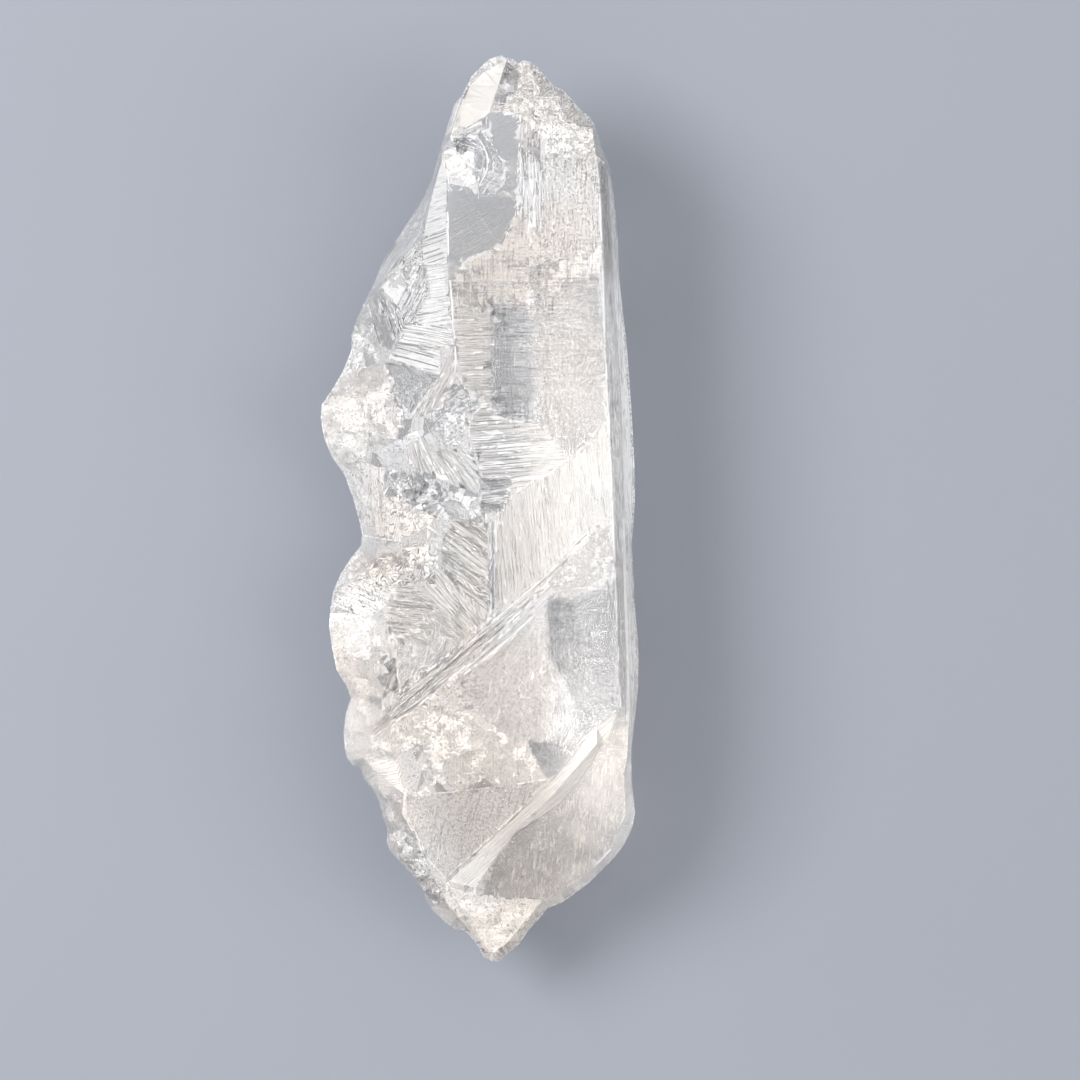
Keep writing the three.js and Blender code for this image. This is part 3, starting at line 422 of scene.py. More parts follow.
def zone_axes(zone, x, y):
    """A zone's own coordinates in mm: across its lines, and along them."""
    if zone["kind"] in ("rings", "rays"):
        cx, cy = zone["centre"]
        away = np.hypot(x - cx, y - cy)
        round_way = np.arctan2(y - cy, x - cx) * zone["radius"]
        return (away, round_way) if zone["kind"] == "rings" else (round_way, away)
    a = math.radians(zone.get("angle", 0))
    return y * math.cos(a) - x * math.sin(a), x * math.cos(a) + y * math.sin(a)


def zone_point(zone, across, along):
    """The way back from a zone's own coordinates."""
    if zone["kind"] in ("rings", "rays"):
        away, round_way = (across, along) if zone["kind"] == "rings" else (along, across)
        angle = round_way / zone["radius"]
        return zone["centre"][0] + away * np.cos(angle), zone["centre"][1] + away * np.sin(angle)
    a = math.radians(zone.get("angle", 0))
    return along * math.cos(a) - across * math.sin(a), along * math.sin(a) + across * math.cos(a)


def swayed(zone, x, y):
    """How far the lines of a zone sway at each point, in mm."""
    return zone.get("wander", 0.12) * noise(x, y, 4.5, zone["seed"] + 1)


def line_count(zone, low, high):
    """More than enough lines to go from low to high."""
    return int((high - low) / zone["pitch"] * 1.3) + 3


def prepare(zone, seed):
    """Lays out a zone's lines: where each is, and how high the surface is there."""
    zone["seed"] = seed
    rng = np.random.default_rng(seed)
    ax, ay = np.array(zone["area"], float).T
    if "centre" in zone:
        zone["radius"] = float(np.hypot(ax - zone["centre"][0], ay - zone["centre"][1]).mean())
    low_u, low_v = [c.min() - 1 for c in zone_axes(zone, ax, ay)]
    high_u, high_v = [c.max() + 1 for c in zone_axes(zone, ax, ay)]
    if zone["kind"] == "rings":
        # the sides of the area come nearer to the centre than its corners do, but not all the way
        low_u = max(low_u - zone["pitch"] * 3, 0.5)
    zone["span"] = ((low_u, high_u), (low_v, high_v))
    zone["profiles"] = []
    if zone["kind"] in LINED:
        # uneven steps: a short steep riser from each valley to its crest, then a long tread down to the next
        valleys = low_u + np.cumsum(zone["pitch"] * rng.uniform(0.45, 1.55, line_count(zone, low_u, high_u)))
        crests = valleys + zone["pitch"] * rng.uniform(0.08, 0.26, len(valleys))
        lines = np.sort(np.concatenate([valleys, crests]))
        height = np.zeros(len(lines))
        height[1::2] = zone["height"] * rng.uniform(0.35, 1.3, len(valleys))
        zone["valleys"] = lines[0::2]
        zone["profiles"] = [(lines, height)]
    if zone["kind"] == "blocks":
        # terraces of uneven width, each with a narrow riser to the next, both across and along
        for low, high in zone["span"]:
            edges = low + np.cumsum(zone["pitch"] * rng.uniform(0.4, 1.6, line_count(zone, low, high)))
            riser = 0.05 * zone["pitch"] + 0.03
            lines = np.stack([edges - riser, edges + riser], 1).ravel()
            terraces = zone["height"] * rng.uniform(-1, 1, len(edges) + 1)
            zone["profiles"].append((lines, np.repeat(terraces, 2)[1:-1]))


def zone_lines(zone, outline):
    """The lines of a zone as points in plan, and pairs of neighbours to keep joined."""
    points, pairs = [], []
    for which, (lines, _) in enumerate(zone["profiles"]):
        low, high = zone["span"][1 - which]
        steps = np.arange(low, high, min(LINE_STEP, zone.get("reach", REACH) / 2))
        across, along = np.meshgrid(lines, steps, indexing="ij")
        if which:
            across, along = along, across
        x, y = zone_point(zone, across, along)
        # the sway depends on where the point comes to lie, so it is found in two rounds
        for _ in range(0 if which else 2):
            x, y = zone_point(zone, across - swayed(zone, x, y), along)
        keep = depth_in(zone["area"], x, y) > 0.1
        keep[keep] = depth_in(outline, x[keep], y[keep]) > EDGE_CLEAR
        number = len(points) + np.cumsum(keep.ravel()).reshape(keep.shape) - 1
        points.extend(zip(x[keep], y[keep]))
        joined = keep[:, :-1] & keep[:, 1:]
        pairs.extend(zip(number[:, :-1][joined].tolist(), number[:, 1:][joined].tolist()))
    return points, pairs


def zone_border(zone, outline):
    """The edge of a zone as points in plan, and pairs of neighbours to keep joined."""
    if "ragged" in zone:
        return [], []
    points = []
    corners = np.array(zone["area"], float)
    for a, b in zip(corners, np.roll(corners, -1, 0)):
        parts = max(1, round(float(np.hypot(*(b - a))) / BORDER_STEP))
        for k in range(parts):
            x, y = a + (b - a) * k / parts
            points.append((x + BORDER_SWAY * noise(x, y, 1.7, 3), y + BORDER_SWAY * noise(x, y, 1.7, 4)))
    rings = [np.array(points)]
    # a second row inside the first gives the line along the edge its width
    if "edge" in zone:
        side = sideways(np.roll(rings[0], -1, 0) - np.roll(rings[0], 1, 0)) * EDGE_WIDTH
        inner = rings[0] + side
        if (depth_in(zone["area"], *inner.T) > 0).mean() < 0.5:
            inner = rings[0] - side
        rings.append(inner)
    kept, joined = [], []
    for ring in rings:
        x, y = ring.T
        keep = depth_in(outline, x, y) > EDGE_CLEAR
        number = len(kept) + np.cumsum(keep) - 1
        kept.extend(zip(x[keep], y[keep]))
        onward = np.roll(np.arange(len(x)), -1)
        joined.extend((number[i], number[j]) for i, j in enumerate(onward) if keep[i] and keep[j])
    return kept, joined


def zone_relief(zone, x, y):
    """How far a zone raises the surface, in mm, and how far each point is inside it."""
    inside = depth_in(zone["area"], x, y)
    rise = np.zeros(x.shape)
    on = inside > 0
    px, py = x[on], y[on]
    fade = np.clip(inside[on] / zone.get("fade", 0.7), 0, 1)
    seed, pitch = zone["seed"], zone["pitch"]
    if zone["kind"] == "hills":
        value = zone["height"] * noise(px, py, pitch * 0.8, seed)
    elif zone["kind"] == "waves":
        value = zone["height"] * (noise(px, py, pitch, seed) + 0.4 * noise(px, py, pitch / 2.3, seed + 3))
    elif zone["kind"] == "blocks":
        across, along = zone_axes(zone, px, py)
        value = 0.6 * (np.interp(across, *zone["profiles"][0]) + np.interp(along, *zone["profiles"][1]))
    else:
        across, along = zone_axes(zone, px, py)
        across = across + swayed(zone, px, py)
        line = np.searchsorted(zone["valleys"], across + 1e-4)
        strength = 0.55 + 0.9 * noise(line * 2.7, along / zone.get("reach", REACH), 1, seed + 2)
        value = np.interp(across, *zone["profiles"][0]) * np.clip(strength, 0.05, 1)
        value -= zone["height"] * 0.3
    if zone.get("sunk"):
        value = -np.abs(value)
    rise[on] = value * fade
    return rise, inside


def zone_finish(zone, x, y):
    """How white each spot of a zone is, as one of FINISHES."""
    riser = np.zeros(x.shape)
    seed = zone["seed"] + 5
    if zone["kind"] in ("hills", "waves"):
        value = noise(x, y, zone["pitch"] * 1.3, seed) + 0.7 * noise(x, y, zone["pitch"] * 0.6, seed + 1)
    elif zone["kind"] == "blocks":
        across, along = zone_axes(zone, x, y)
        row = np.searchsorted(zone["profiles"][0][0], across)
        column = np.searchsorted(zone["profiles"][1][0], along)
        value = noise(row // 2 * 2.7, along / 5, 1, seed) + noise(column // 2 * 2.7, across / 5, 1, seed + 1)
        riser = np.maximum(row % 2, column % 2) * 0.5
    else:
        across, along = zone_axes(zone, x, y)
        line = np.searchsorted(zone["profiles"][0][0], across + swayed(zone, x, y))
        riser = (line % 2) * 1.0
        value = noise(line // 2 * 2.7, along / zone.get("reach", REACH), 1, seed)
        value += 0.35 * noise(x, y, 1.1, seed + 1)
    rank = np.argsort(np.argsort(value)) / max(1, len(value))
    # a line below 0 makes the risers whiter: a painted highlight where they catch the light
    level = zone["white"] + (rank - 0.5) * zone["spread"] - riser * zone.get("line", 1.0)
    dither = np.random.default_rng(seed).uniform(-0.15, 0.15, x.shape)
    # a thin line along the zone's edge takes its own finish, and a white one is a painted highlight along the
    # facet's edge
    if "edge" in zone:
        bordering = (depth_in(zone["area"], x, y) < EDGE_WIDTH) & (noise(x, y, 4, seed + 9) > -0.35)
        level[bordering] = zone["edge"]
    return as_finish(level + dither)


def as_finish(level):
    """Levels of white as numbers of FINISHES."""
    return np.clip(np.round(level), 0, len(FINISHES) - 1).astype(int)


def merged_cad():
    """The CAD solid, in mm: its joined points, its edges, a tree to cast rays at, and its box."""
    bm = bmesh.new()
    bm.from_mesh(bpy.data.objects["crystal"].data)
    bmesh.ops.remove_doubles(bm, verts=bm.verts, dist=1e-7)
    bm.verts.ensure_lookup_table()
    points = np.array([v.co[:] for v in bm.verts]) / MM
    faces = [[v.index for v in f.verts] for f in bm.faces]
    up = np.array([f.normal.z for f in bm.faces])
    edges = []
    for e in bm.edges:
        a, b = e.link_faces
        edges.append((e.verts[0].index, e.verts[1].index, up[a.index], up[b.index], e.calc_face_angle()))
    bm.free()
    tree = BVHTree.FromPolygons([Vector(p) for p in points], faces)
    return {"points": points, "edges": edges, "tree": tree, "box": (points.min(0), points.max(0))}


def cast(tree, side, x, y):
    """The height of the CAD solid's front or back skin at a place in plan."""
    hit = tree.ray_cast(Vector((x, y, side * WELL_ABOVE)), Vector((0, 0, -side)))[0]
    if hit is None:
        # right at the outline a ray can pass the solid by, and the nearest spot is taken
        hit = tree.find_nearest(Vector((x, y, SKIN_HEIGHT[side])))[0]
    return hit.z


def outline_loop(cad):
    """The outline, where the two skins meet, cut into short pieces and nibbled as broken quartz is."""
    points = cad["points"]
    follow = {}
    for a, b, up_a, up_b, _ in cad["edges"]:
        if up_a * up_b < 0:
            follow.setdefault(a, []).append(b)
            follow.setdefault(b, []).append(a)
    first = max(follow, key=lambda i: points[i][1])
    loop, last = [first], None
    while True:
        onward = [i for i in follow[loop[-1]] if i != last]
        last = loop[-1]
        if onward[0] == first or len(loop) > len(follow):
            break
        loop.append(onward[0])
    ring = points[loop]
    area = 0.5 * np.sum(ring[:, 0] * np.roll(ring[:, 1], -1) - np.roll(ring[:, 0], -1) * ring[:, 1])
    if area < 0:
        ring = ring[::-1]
    fine = []
    rng = np.random.default_rng(RIM_SEED)
    for a, b in zip(ring, np.roll(ring, -1, 0)):
        run = b - a
        parts = max(1, round(float(np.hypot(*run[:2])) / RIM_STEP))
        inward = np.append(sideways(run[:2]), 0)
        # the straight grown side on the right isn't nibbled
        nibbled = a[0] < 33 or abs(a[1]) > 80
        fine.append(a)
        for k in range(1, parts):
            chip = inward * RIM_CHIP * rng.uniform(0, 1) * nibbled
            fine.append(a + run * k / parts + chip)
    return np.array(fine)


def soft_heights(side, outline, cad, soft_zones):
    """The skin's heights on a grid, blurred, for the places where the break is rounded."""
    low, high = cad["box"]
    xs, ys = np.arange(low[0], high[0], SOFT_GRID), np.arange(low[1], high[1], SOFT_GRID)
    gx, gy = np.meshgrid(xs, ys)
    near = np.zeros(gx.shape, bool)
    for zone in soft_zones:
        near |= depth_in(zone["area"], gx, gy) > -4
    weight = np.zeros(gx.shape)
    weight[near] = depth_in(outline, gx[near], gy[near]) > 0.2
    height = np.zeros(gx.shape)
    for i, j in np.argwhere(weight > 0):
        height[i, j] = cast(cad["tree"], side, gx[i, j], gy[i, j])
    reach = np.arange(-6, 7) * SOFT_GRID
    kernel = np.exp(-reach ** 2 / (2 * SOFT_BLUR ** 2))

    def blurred(grid):
        rows = np.apply_along_axis(np.convolve, 1, grid, kernel, "same")
        return np.apply_along_axis(np.convolve, 0, rows, kernel, "same")
    field = blurred(height * weight) / (blurred(weight) + 1e-9)

    def height_at(x, y):
        u, v = (x - xs[0]) / SOFT_GRID, (y - ys[0]) / SOFT_GRID
        i, j = np.clip(v.astype(int), 0, len(ys) - 2), np.clip(u.astype(int), 0, len(xs) - 2)
        s, t = u - j, v - i
        below = field[i, j] * (1 - s) + field[i, j + 1] * s
        above = field[i + 1, j] * (1 - s) + field[i + 1, j + 1] * s
        return below * (1 - t) + above * t
    return height_at


def crisp_edges(side, zones, rim, cad, plan, joins):
    """Adds the crisp edges of the CAD solid to a skin's plan, and gives back those that get a white line of
    wear and painted highlight.
    """
    points, edges = cad["points"], cad["edges"]
    on_rim = {tuple(np.round(p[:2], 4)): i for i, p in enumerate(rim)}
    middle = np.array([(points[a] + points[b]) / 2 for a, b, *_ in edges])
    softened = np.zeros(len(edges), bool)
    for zone in zones:
        if zone.get("round"):
            softened |= depth_in(zone["area"], middle[:, 0], middle[:, 1]) > 0.5
    numbered, ridges = {}, []
    for (a, b, up_a, up_b, angle), soft in zip(edges, softened):
        if soft or angle <= SHARP or min(up_a * side, up_b * side) <= 0:
            continue
        ends = []
        for i in (a, b):
            place = tuple(np.round(points[i][:2], 4))
            if place not in on_rim and i not in numbered:
                numbered[i] = len(plan)
                plan.append(tuple(points[i][:2]))
            ends.append(on_rim[place] if place in on_rim else numbered[i])
        joins.append(tuple(ends))
        if angle > WORN_AND_GLINTING:
            ridges.append((points[a][:2], points[b][:2]))
    return ridges


def scatter(area, outline, spacing, rng):
    """Points in an even, slightly shaken pattern over an area."""
    ax, ay = np.array(area, float).T
    rows = np.arange(ay.min(), ay.max(), spacing * 0.87)
    gx, gy = np.meshgrid(np.arange(ax.min(), ax.max(), spacing), rows)
    gx = gx + (np.arange(len(rows)) % 2)[:, None] * spacing / 2
    gx = gx.ravel() + rng.uniform(-0.3, 0.3, gx.size) * spacing
    gy = gy.ravel() + rng.uniform(-0.3, 0.3, gy.size) * spacing
    keep = (depth_in(area, gx, gy) > 0.1) & (depth_in(outline, gx, gy) > SCATTER_CLEAR)
    return list(zip(gx[keep], gy[keep]))


def loose_points(side, zones, outline, rim, ridges):
    """The points between the lines: scattered ones, and rows beside the white-lined edges and inside the
    outline.
    """
    rng = np.random.default_rng(LOOSE_SEEDS[side])
    loose = scatter(outline, outline, COARSE, rng)
    for zone in zones:
        if zone["kind"] == "hills":
            loose += scatter(zone["area"], outline, zone["pitch"] * 0.85, rng)
        elif zone["kind"] == "waves" or zone.get("round"):
            loose += scatter(zone["area"], outline, min(1.2, max(0.8, zone["pitch"] / 3)), rng)
    for start, end in ridges:
        run = end - start
        length = float(np.hypot(*run))
        off = sideways(run) * EDGE_WIDTH * 0.8
        along = start + run * np.arange(0.2, length, RIDGE_STEP)[:, None] / (length + 1e-9)
        loose.extend(map(tuple, np.concatenate([along + off, along - off])))
    ring = rim[:, :2]
    inner = ring + sideways(np.roll(ring, -1, 0) - np.roll(ring, 1, 0)) * RIM_INSET
    loose.extend(map(tuple, inner))
    clear = depth_in(outline, *np.array(loose).T) > LOOSE_CLEAR
    return [spot for spot, kept in zip(loose, clear) if kept]


def cut_plan(plan, joins, outline):
    """Cuts a plan into triangles. Gives points, triangles, and each point's place on the outline, or -1."""
    spots, _, corners, origins, *_ = delaunay_2d_cdt([Vector(p) for p in plan], joins, [], 0, 1e-4)
    flat = np.array([v[:] for v in spots])
    tris = np.array([f for f in corners if len(f) == 3])
    tris = tris[depth_in(outline, *flat[tris].mean(1).T) > 1e-5]
    one, other = flat[tris[:, 1]] - flat[tris[:, 0]], flat[tris[:, 2]] - flat[tris[:, 0]]
    turned = one[:, 0] * other[:, 1] - one[:, 1] * other[:, 0] < 0
    tris[turned] = tris[turned][:, ::-1]
    rim_index = np.full(len(flat), -1)
    for i, own in enumerate(origins):
        on_rim = [number for number in own if number < len(outline)]
        if on_rim:
            rim_index[i] = on_rim[-1]
    return flat, tris, rim_index


def skin_heights(side, zones, outline, rim, cad, flat, rim_index, from_rim):
    """The height of each point of a skin, as in the CAD solid but for rounded corners and levelled facets."""
    x, y = flat.T
    height = np.array([rim[own][2] if own >= 0 else cast(cad["tree"], side, *spot)
                       for spot, own in zip(flat, rim_index)])
    soft_zones = [zone for zone in zones if zone.get("round")]
    weight = np.zeros(len(flat))
    for zone in soft_zones:
        weight = np.maximum(weight, zone["round"] * np.clip(depth_in(zone["area"], x, y) / 1.5, 0, 1))
    weight *= np.clip((from_rim - 0.6) / 2, 0, 1)
    height = height * (1 - weight) + soft_heights(side, outline, cad, soft_zones)(x, y) * weight
    level = np.stack([x, y, np.ones(len(x))], 1)
    for zone in zones:
        if zone.get("plane"):
            inside = depth_in(zone["area"], x, y)
            core, on = inside > 0.5, inside > 0
            facet = np.linalg.lstsq(level[core], height[core], rcond=None)[0]
            height[on] += np.clip(inside[on] / 0.8, 0, 1) * (level[on] @ facet - height[on])
    return height


def point_normals(solid, tris):
    """The upward normal of each point."""
    a, b, c = solid[tris[:, 0]], solid[tris[:, 1]], solid[tris[:, 2]]
    face_normal = np.cross(b - a, c - a)
    normal = np.zeros_like(solid)
    for k in range(3):
        np.add.at(normal, tris[:, k], face_normal)
    return normal / (np.linalg.norm(normal, axis=1)[:, None] + 1e-12)


def relief_and_marks(side, zones, x, y):
    """How far all zones together raise each point, and what the material reads there."""
    rise = np.zeros(len(x))
    marks = {mark: np.full(len(x), float(plain or 0)) for mark, (plain, _) in MARKS.items()}
    # the warm tone grows towards the foot, and the plain faces of the front have glassy ribs
    marks["warm"] = np.clip(0.35 - y / 170, 0.25, 1)
    marks["crinkle"] += 0.7 * (side > 0)
    for zone in zones:
        raised, inside = zone_relief(zone, x, y)
        rise += raised
        # a narrow edge fades outside the area, and a wide one half inside it
        spill = zone.get("fade", 0.5)
        weight = np.clip(1 + inside / spill if spill < 1 else 0.5 + inside / spill, 0, 1)
        for mark, values in marks.items():
            own = zone.get(mark, MARKS[mark][1].get(zone["kind"], values))
            marks[mark] = values + (own - values) * weight
    return rise, marks


def triangle_finish(side, zones, ridges, middle, from_rim):
    """The finish of each triangle, whether it is shaded smoothly, and the zone that gives it its grain."""
    x, y = middle.T
    finish = np.zeros(len(x), int)
    if side > 0:
        finish = as_finish(1.7 + 0.7 * noise(x, y, 3.2, 51) + 0.4 * noise(x, y, 1.1, 52))
    smooth, zone_of = np.zeros(len(x), bool), np.full(len(x), -1)
    for number, zone in enumerate(zones):
        inside = depth_in(zone["area"], x, y)
        on = inside > zone.get("ragged", 0) * noise(x, y, 1.5, 71)
        smooth[on] = zone.get("smooth", False)
        if zone["kind"] in LINED + ("blocks",):
            zone_of[inside > 0] = number
        if "white" in zone:
            finish[on] = zone_finish(zone, x[on], y[on])
    # ridges and the rim get a white line, partly wear and partly a painted highlight where they catch the
    # light, which breaks off here and there
    ridge = np.full(len(x), FAR)
    for start, end in ridges:
        ridge = np.minimum(ridge, from_line(start, end, x, y))
    worn_and_glinting = ridge < EDGE_WIDTH * 0.75
    worn_and_glinting |= (from_rim < RIM_WORN_AND_GLINTING) & (side > 0)
    worn_and_glinting &= noise(x, y, 3.5, 61) > -0.2
    finish[worn_and_glinting] = np.maximum(finish[worn_and_glinting], len(FINISHES) - 1 if side > 0 else 1)
    return finish, smooth, zone_of


def skin(side, zones, rim, cad):
    """One skin of the crystal, cut in plan along every line of its zones, then raised to its height."""
    outline = [tuple(p[:2]) for p in rim]
    plan = list(outline)
    joins = [(i, (i + 1) % len(rim)) for i in range(len(rim))]
    ridges = crisp_edges(side, zones, rim, cad, plan, joins)
    for zone in zones:
        for more, pairs in (zone_lines(zone, outline), zone_border(zone, outline)):
            start = len(plan)
            plan.extend(more)
            joins.extend((start + a, start + b) for a, b in pairs)
    plan.extend(loose_points(side, zones, outline, rim, ridges))
    flat, tris, rim_index = cut_plan(plan, joins, outline)
    x, y = flat.T
    from_rim = depth_in(outline, x, y)
    height = skin_heights(side, zones, outline, rim, cad, flat, rim_index, from_rim)
    solid = np.stack([x, y, height], 1)
    rise, marks = relief_and_marks(side, zones, x, y)
    # both skins meet at the outline, so the relief ends there
    rise *= np.clip((from_rim - 0.05) / 0.6, 0, 1)
    rise[rim_index >= 0] = 0
    solid += side * point_normals(solid, tris) * rise[:, None]
    if side < 0:
        tris = tris[:, ::-1]
    finish, smooth, zone_of = triangle_finish(side, zones, ridges, flat[tris].mean(1), from_rim[tris].mean(1))
    return {"solid": solid, "tris": tris, "rim_index": rim_index, "marks": marks, "finish": finish,
            "smooth": smooth, "zone_of": zone_of}


def quartz_body():
    """The whole crystal: both skins, sharing the outline."""
    for number, zone in enumerate(FRONT_ZONES + BACK_ZONES):
        prepare(zone, FIRST_SEED + number)
    cad = merged_cad()
    rim = outline_loop(cad)
    front = skin(1, FRONT_ZONES, rim, cad)
    back = skin(-1, BACK_ZONES, rim, cad)
    back["zone_of"][back["zone_of"] >= 0] += len(FRONT_ZONES)
    # the points of the outline come first, and then each skin's own
    coords, tris = [rim], []
    marks = {mark: [np.full(len(rim), 0.1)] for mark in MARKS}
    total = len(rim)
    for half in (front, back):
        own = half["rim_index"] < 0
        number = np.where(own, total + np.cumsum(own) - 1, half["rim_index"])
        coords.append(half["solid"][own])
        for mark, values in half["marks"].items():
            marks[mark].append(values[own])
        total += int(own.sum())
        tris.append(number[half["tris"]])
    coords = np.clip(np.concatenate(coords), *cad["box"])
    tris = np.concatenate(tris)
    finish, smooth, zone_of = [np.concatenate([front[value], back[value]])
                               for value in ("finish", "smooth", "zone_of")]
    mesh = bpy.data.meshes.new("quartz_body")
    mesh.from_pydata((coords * MM).tolist(), [], tris.tolist())
    mesh.polygons.foreach_set("use_smooth", smooth)
    for name in FINISHES:
        mesh.materials.append(bpy.data.materials.new(name))
    mesh.polygons.foreach_set("material_index", finish.astype(np.int32))
    for mark, values in marks.items():
        layer = mesh.attributes.new(mark, "FLOAT", "POINT")
        layer.data.foreach_set("value", np.concatenate(values).astype(np.float32))
    # the grain runs across and along the lines of each zone, in mm
    uv = coords[tris][:, :, :2]
    for number, zone in enumerate(FRONT_ZONES + BACK_ZONES):
        on = zone_of == number
        if on.any():
            uv[on] = np.stack(zone_axes(zone, uv[on][..., 0], uv[on][..., 1]), -1)
    grain = mesh.uv_layers.new(name="grain")
    grain.data.foreach_set("uv", uv.astype(np.float32).ravel())
    # three points of the outline that lie in one line leave a slit of no width between the skins, closed here
    whole = bmesh.new()
    whole.from_mesh(mesh)
    slits = [edge for edge in whole.edges if edge.is_boundary]
    bmesh.ops.holes_fill(whole, edges=slits, sides=3)
    whole.to_mesh(mesh)
    whole.free()
    mesh.validate()
    mesh.update()
    return in_scene("quartz_body", mesh)


def linear(hex_colour):
    """An sRGB hex colour as the linear numbers that a shader takes."""
    parts = [int(hex_colour[i:i + 2], 16) / 255 for i in (1, 3, 5)]
    return tuple(p / 12.92 if p <= 0.04045 else ((p + 0.055) / 1.055) ** 2.4 for p in parts) + (1,)


def scale_of(size):
    """The scale, a whole number, that draws a noise with cells of this many mm on coordinates in metres."""
    return float(round(1 / (size * MM)))


def node(tree, kind, links=None, **settings):
    """Adds a node with its settings, its input values, and the sockets that feed it."""
    made = tree.nodes.new(kind)
    for name, value in settings.items():
        setattr(made, name, value)
    for key, value in (links or {}).items():
        if isinstance(value, bpy.types.NodeSocket):
            tree.links.new(value, made.inputs[key])
        else:
            made.inputs[key].default_value = value
    return made


def empty_tree(material):
    """The node tree of a material, with nothing in it yet."""
    material.use_nodes = True
    material.node_tree.nodes.clear()
    return material.node_tree


def thin_lines(tree, grain, scale):
    """Long thin lines along one way of the grain, as a socket that is 1 on a line and 0 between them."""
    stretch = node(tree, "ShaderNodeMapping", {"Vector": grain, "Scale": scale})
    run = node(tree, "ShaderNodeTexNoise",
               {"Vector": stretch.outputs["Vector"], "Scale": 1.0, "Detail": 1.0}, noise_dimensions="2D")
    off = node(tree, "ShaderNodeMath", {0: run.outputs["Fac"], 1: 0.5}, operation="SUBTRACT")
    away = node(tree, "ShaderNodeMath", {0: off.outputs[0]}, operation="ABSOLUTE")
    line = node(tree, "ShaderNodeMapRange",
                {"Value": away.outputs[0], "From Min": 0.01, "From Max": 0.035, "To Min": 1.0, "To Max": 0.0})
    return line.outputs["Result"]


def laid_over(tree, patterns):
    """Patterns added up, each as strong as the number or the mark beside it."""
    total = 0.0
    for pattern, strength in patterns:
        total = node(tree, "ShaderNodeMath", {0: pattern, 1: strength, 2: total},
                     operation="MULTIPLY_ADD").outputs[0]
    return total


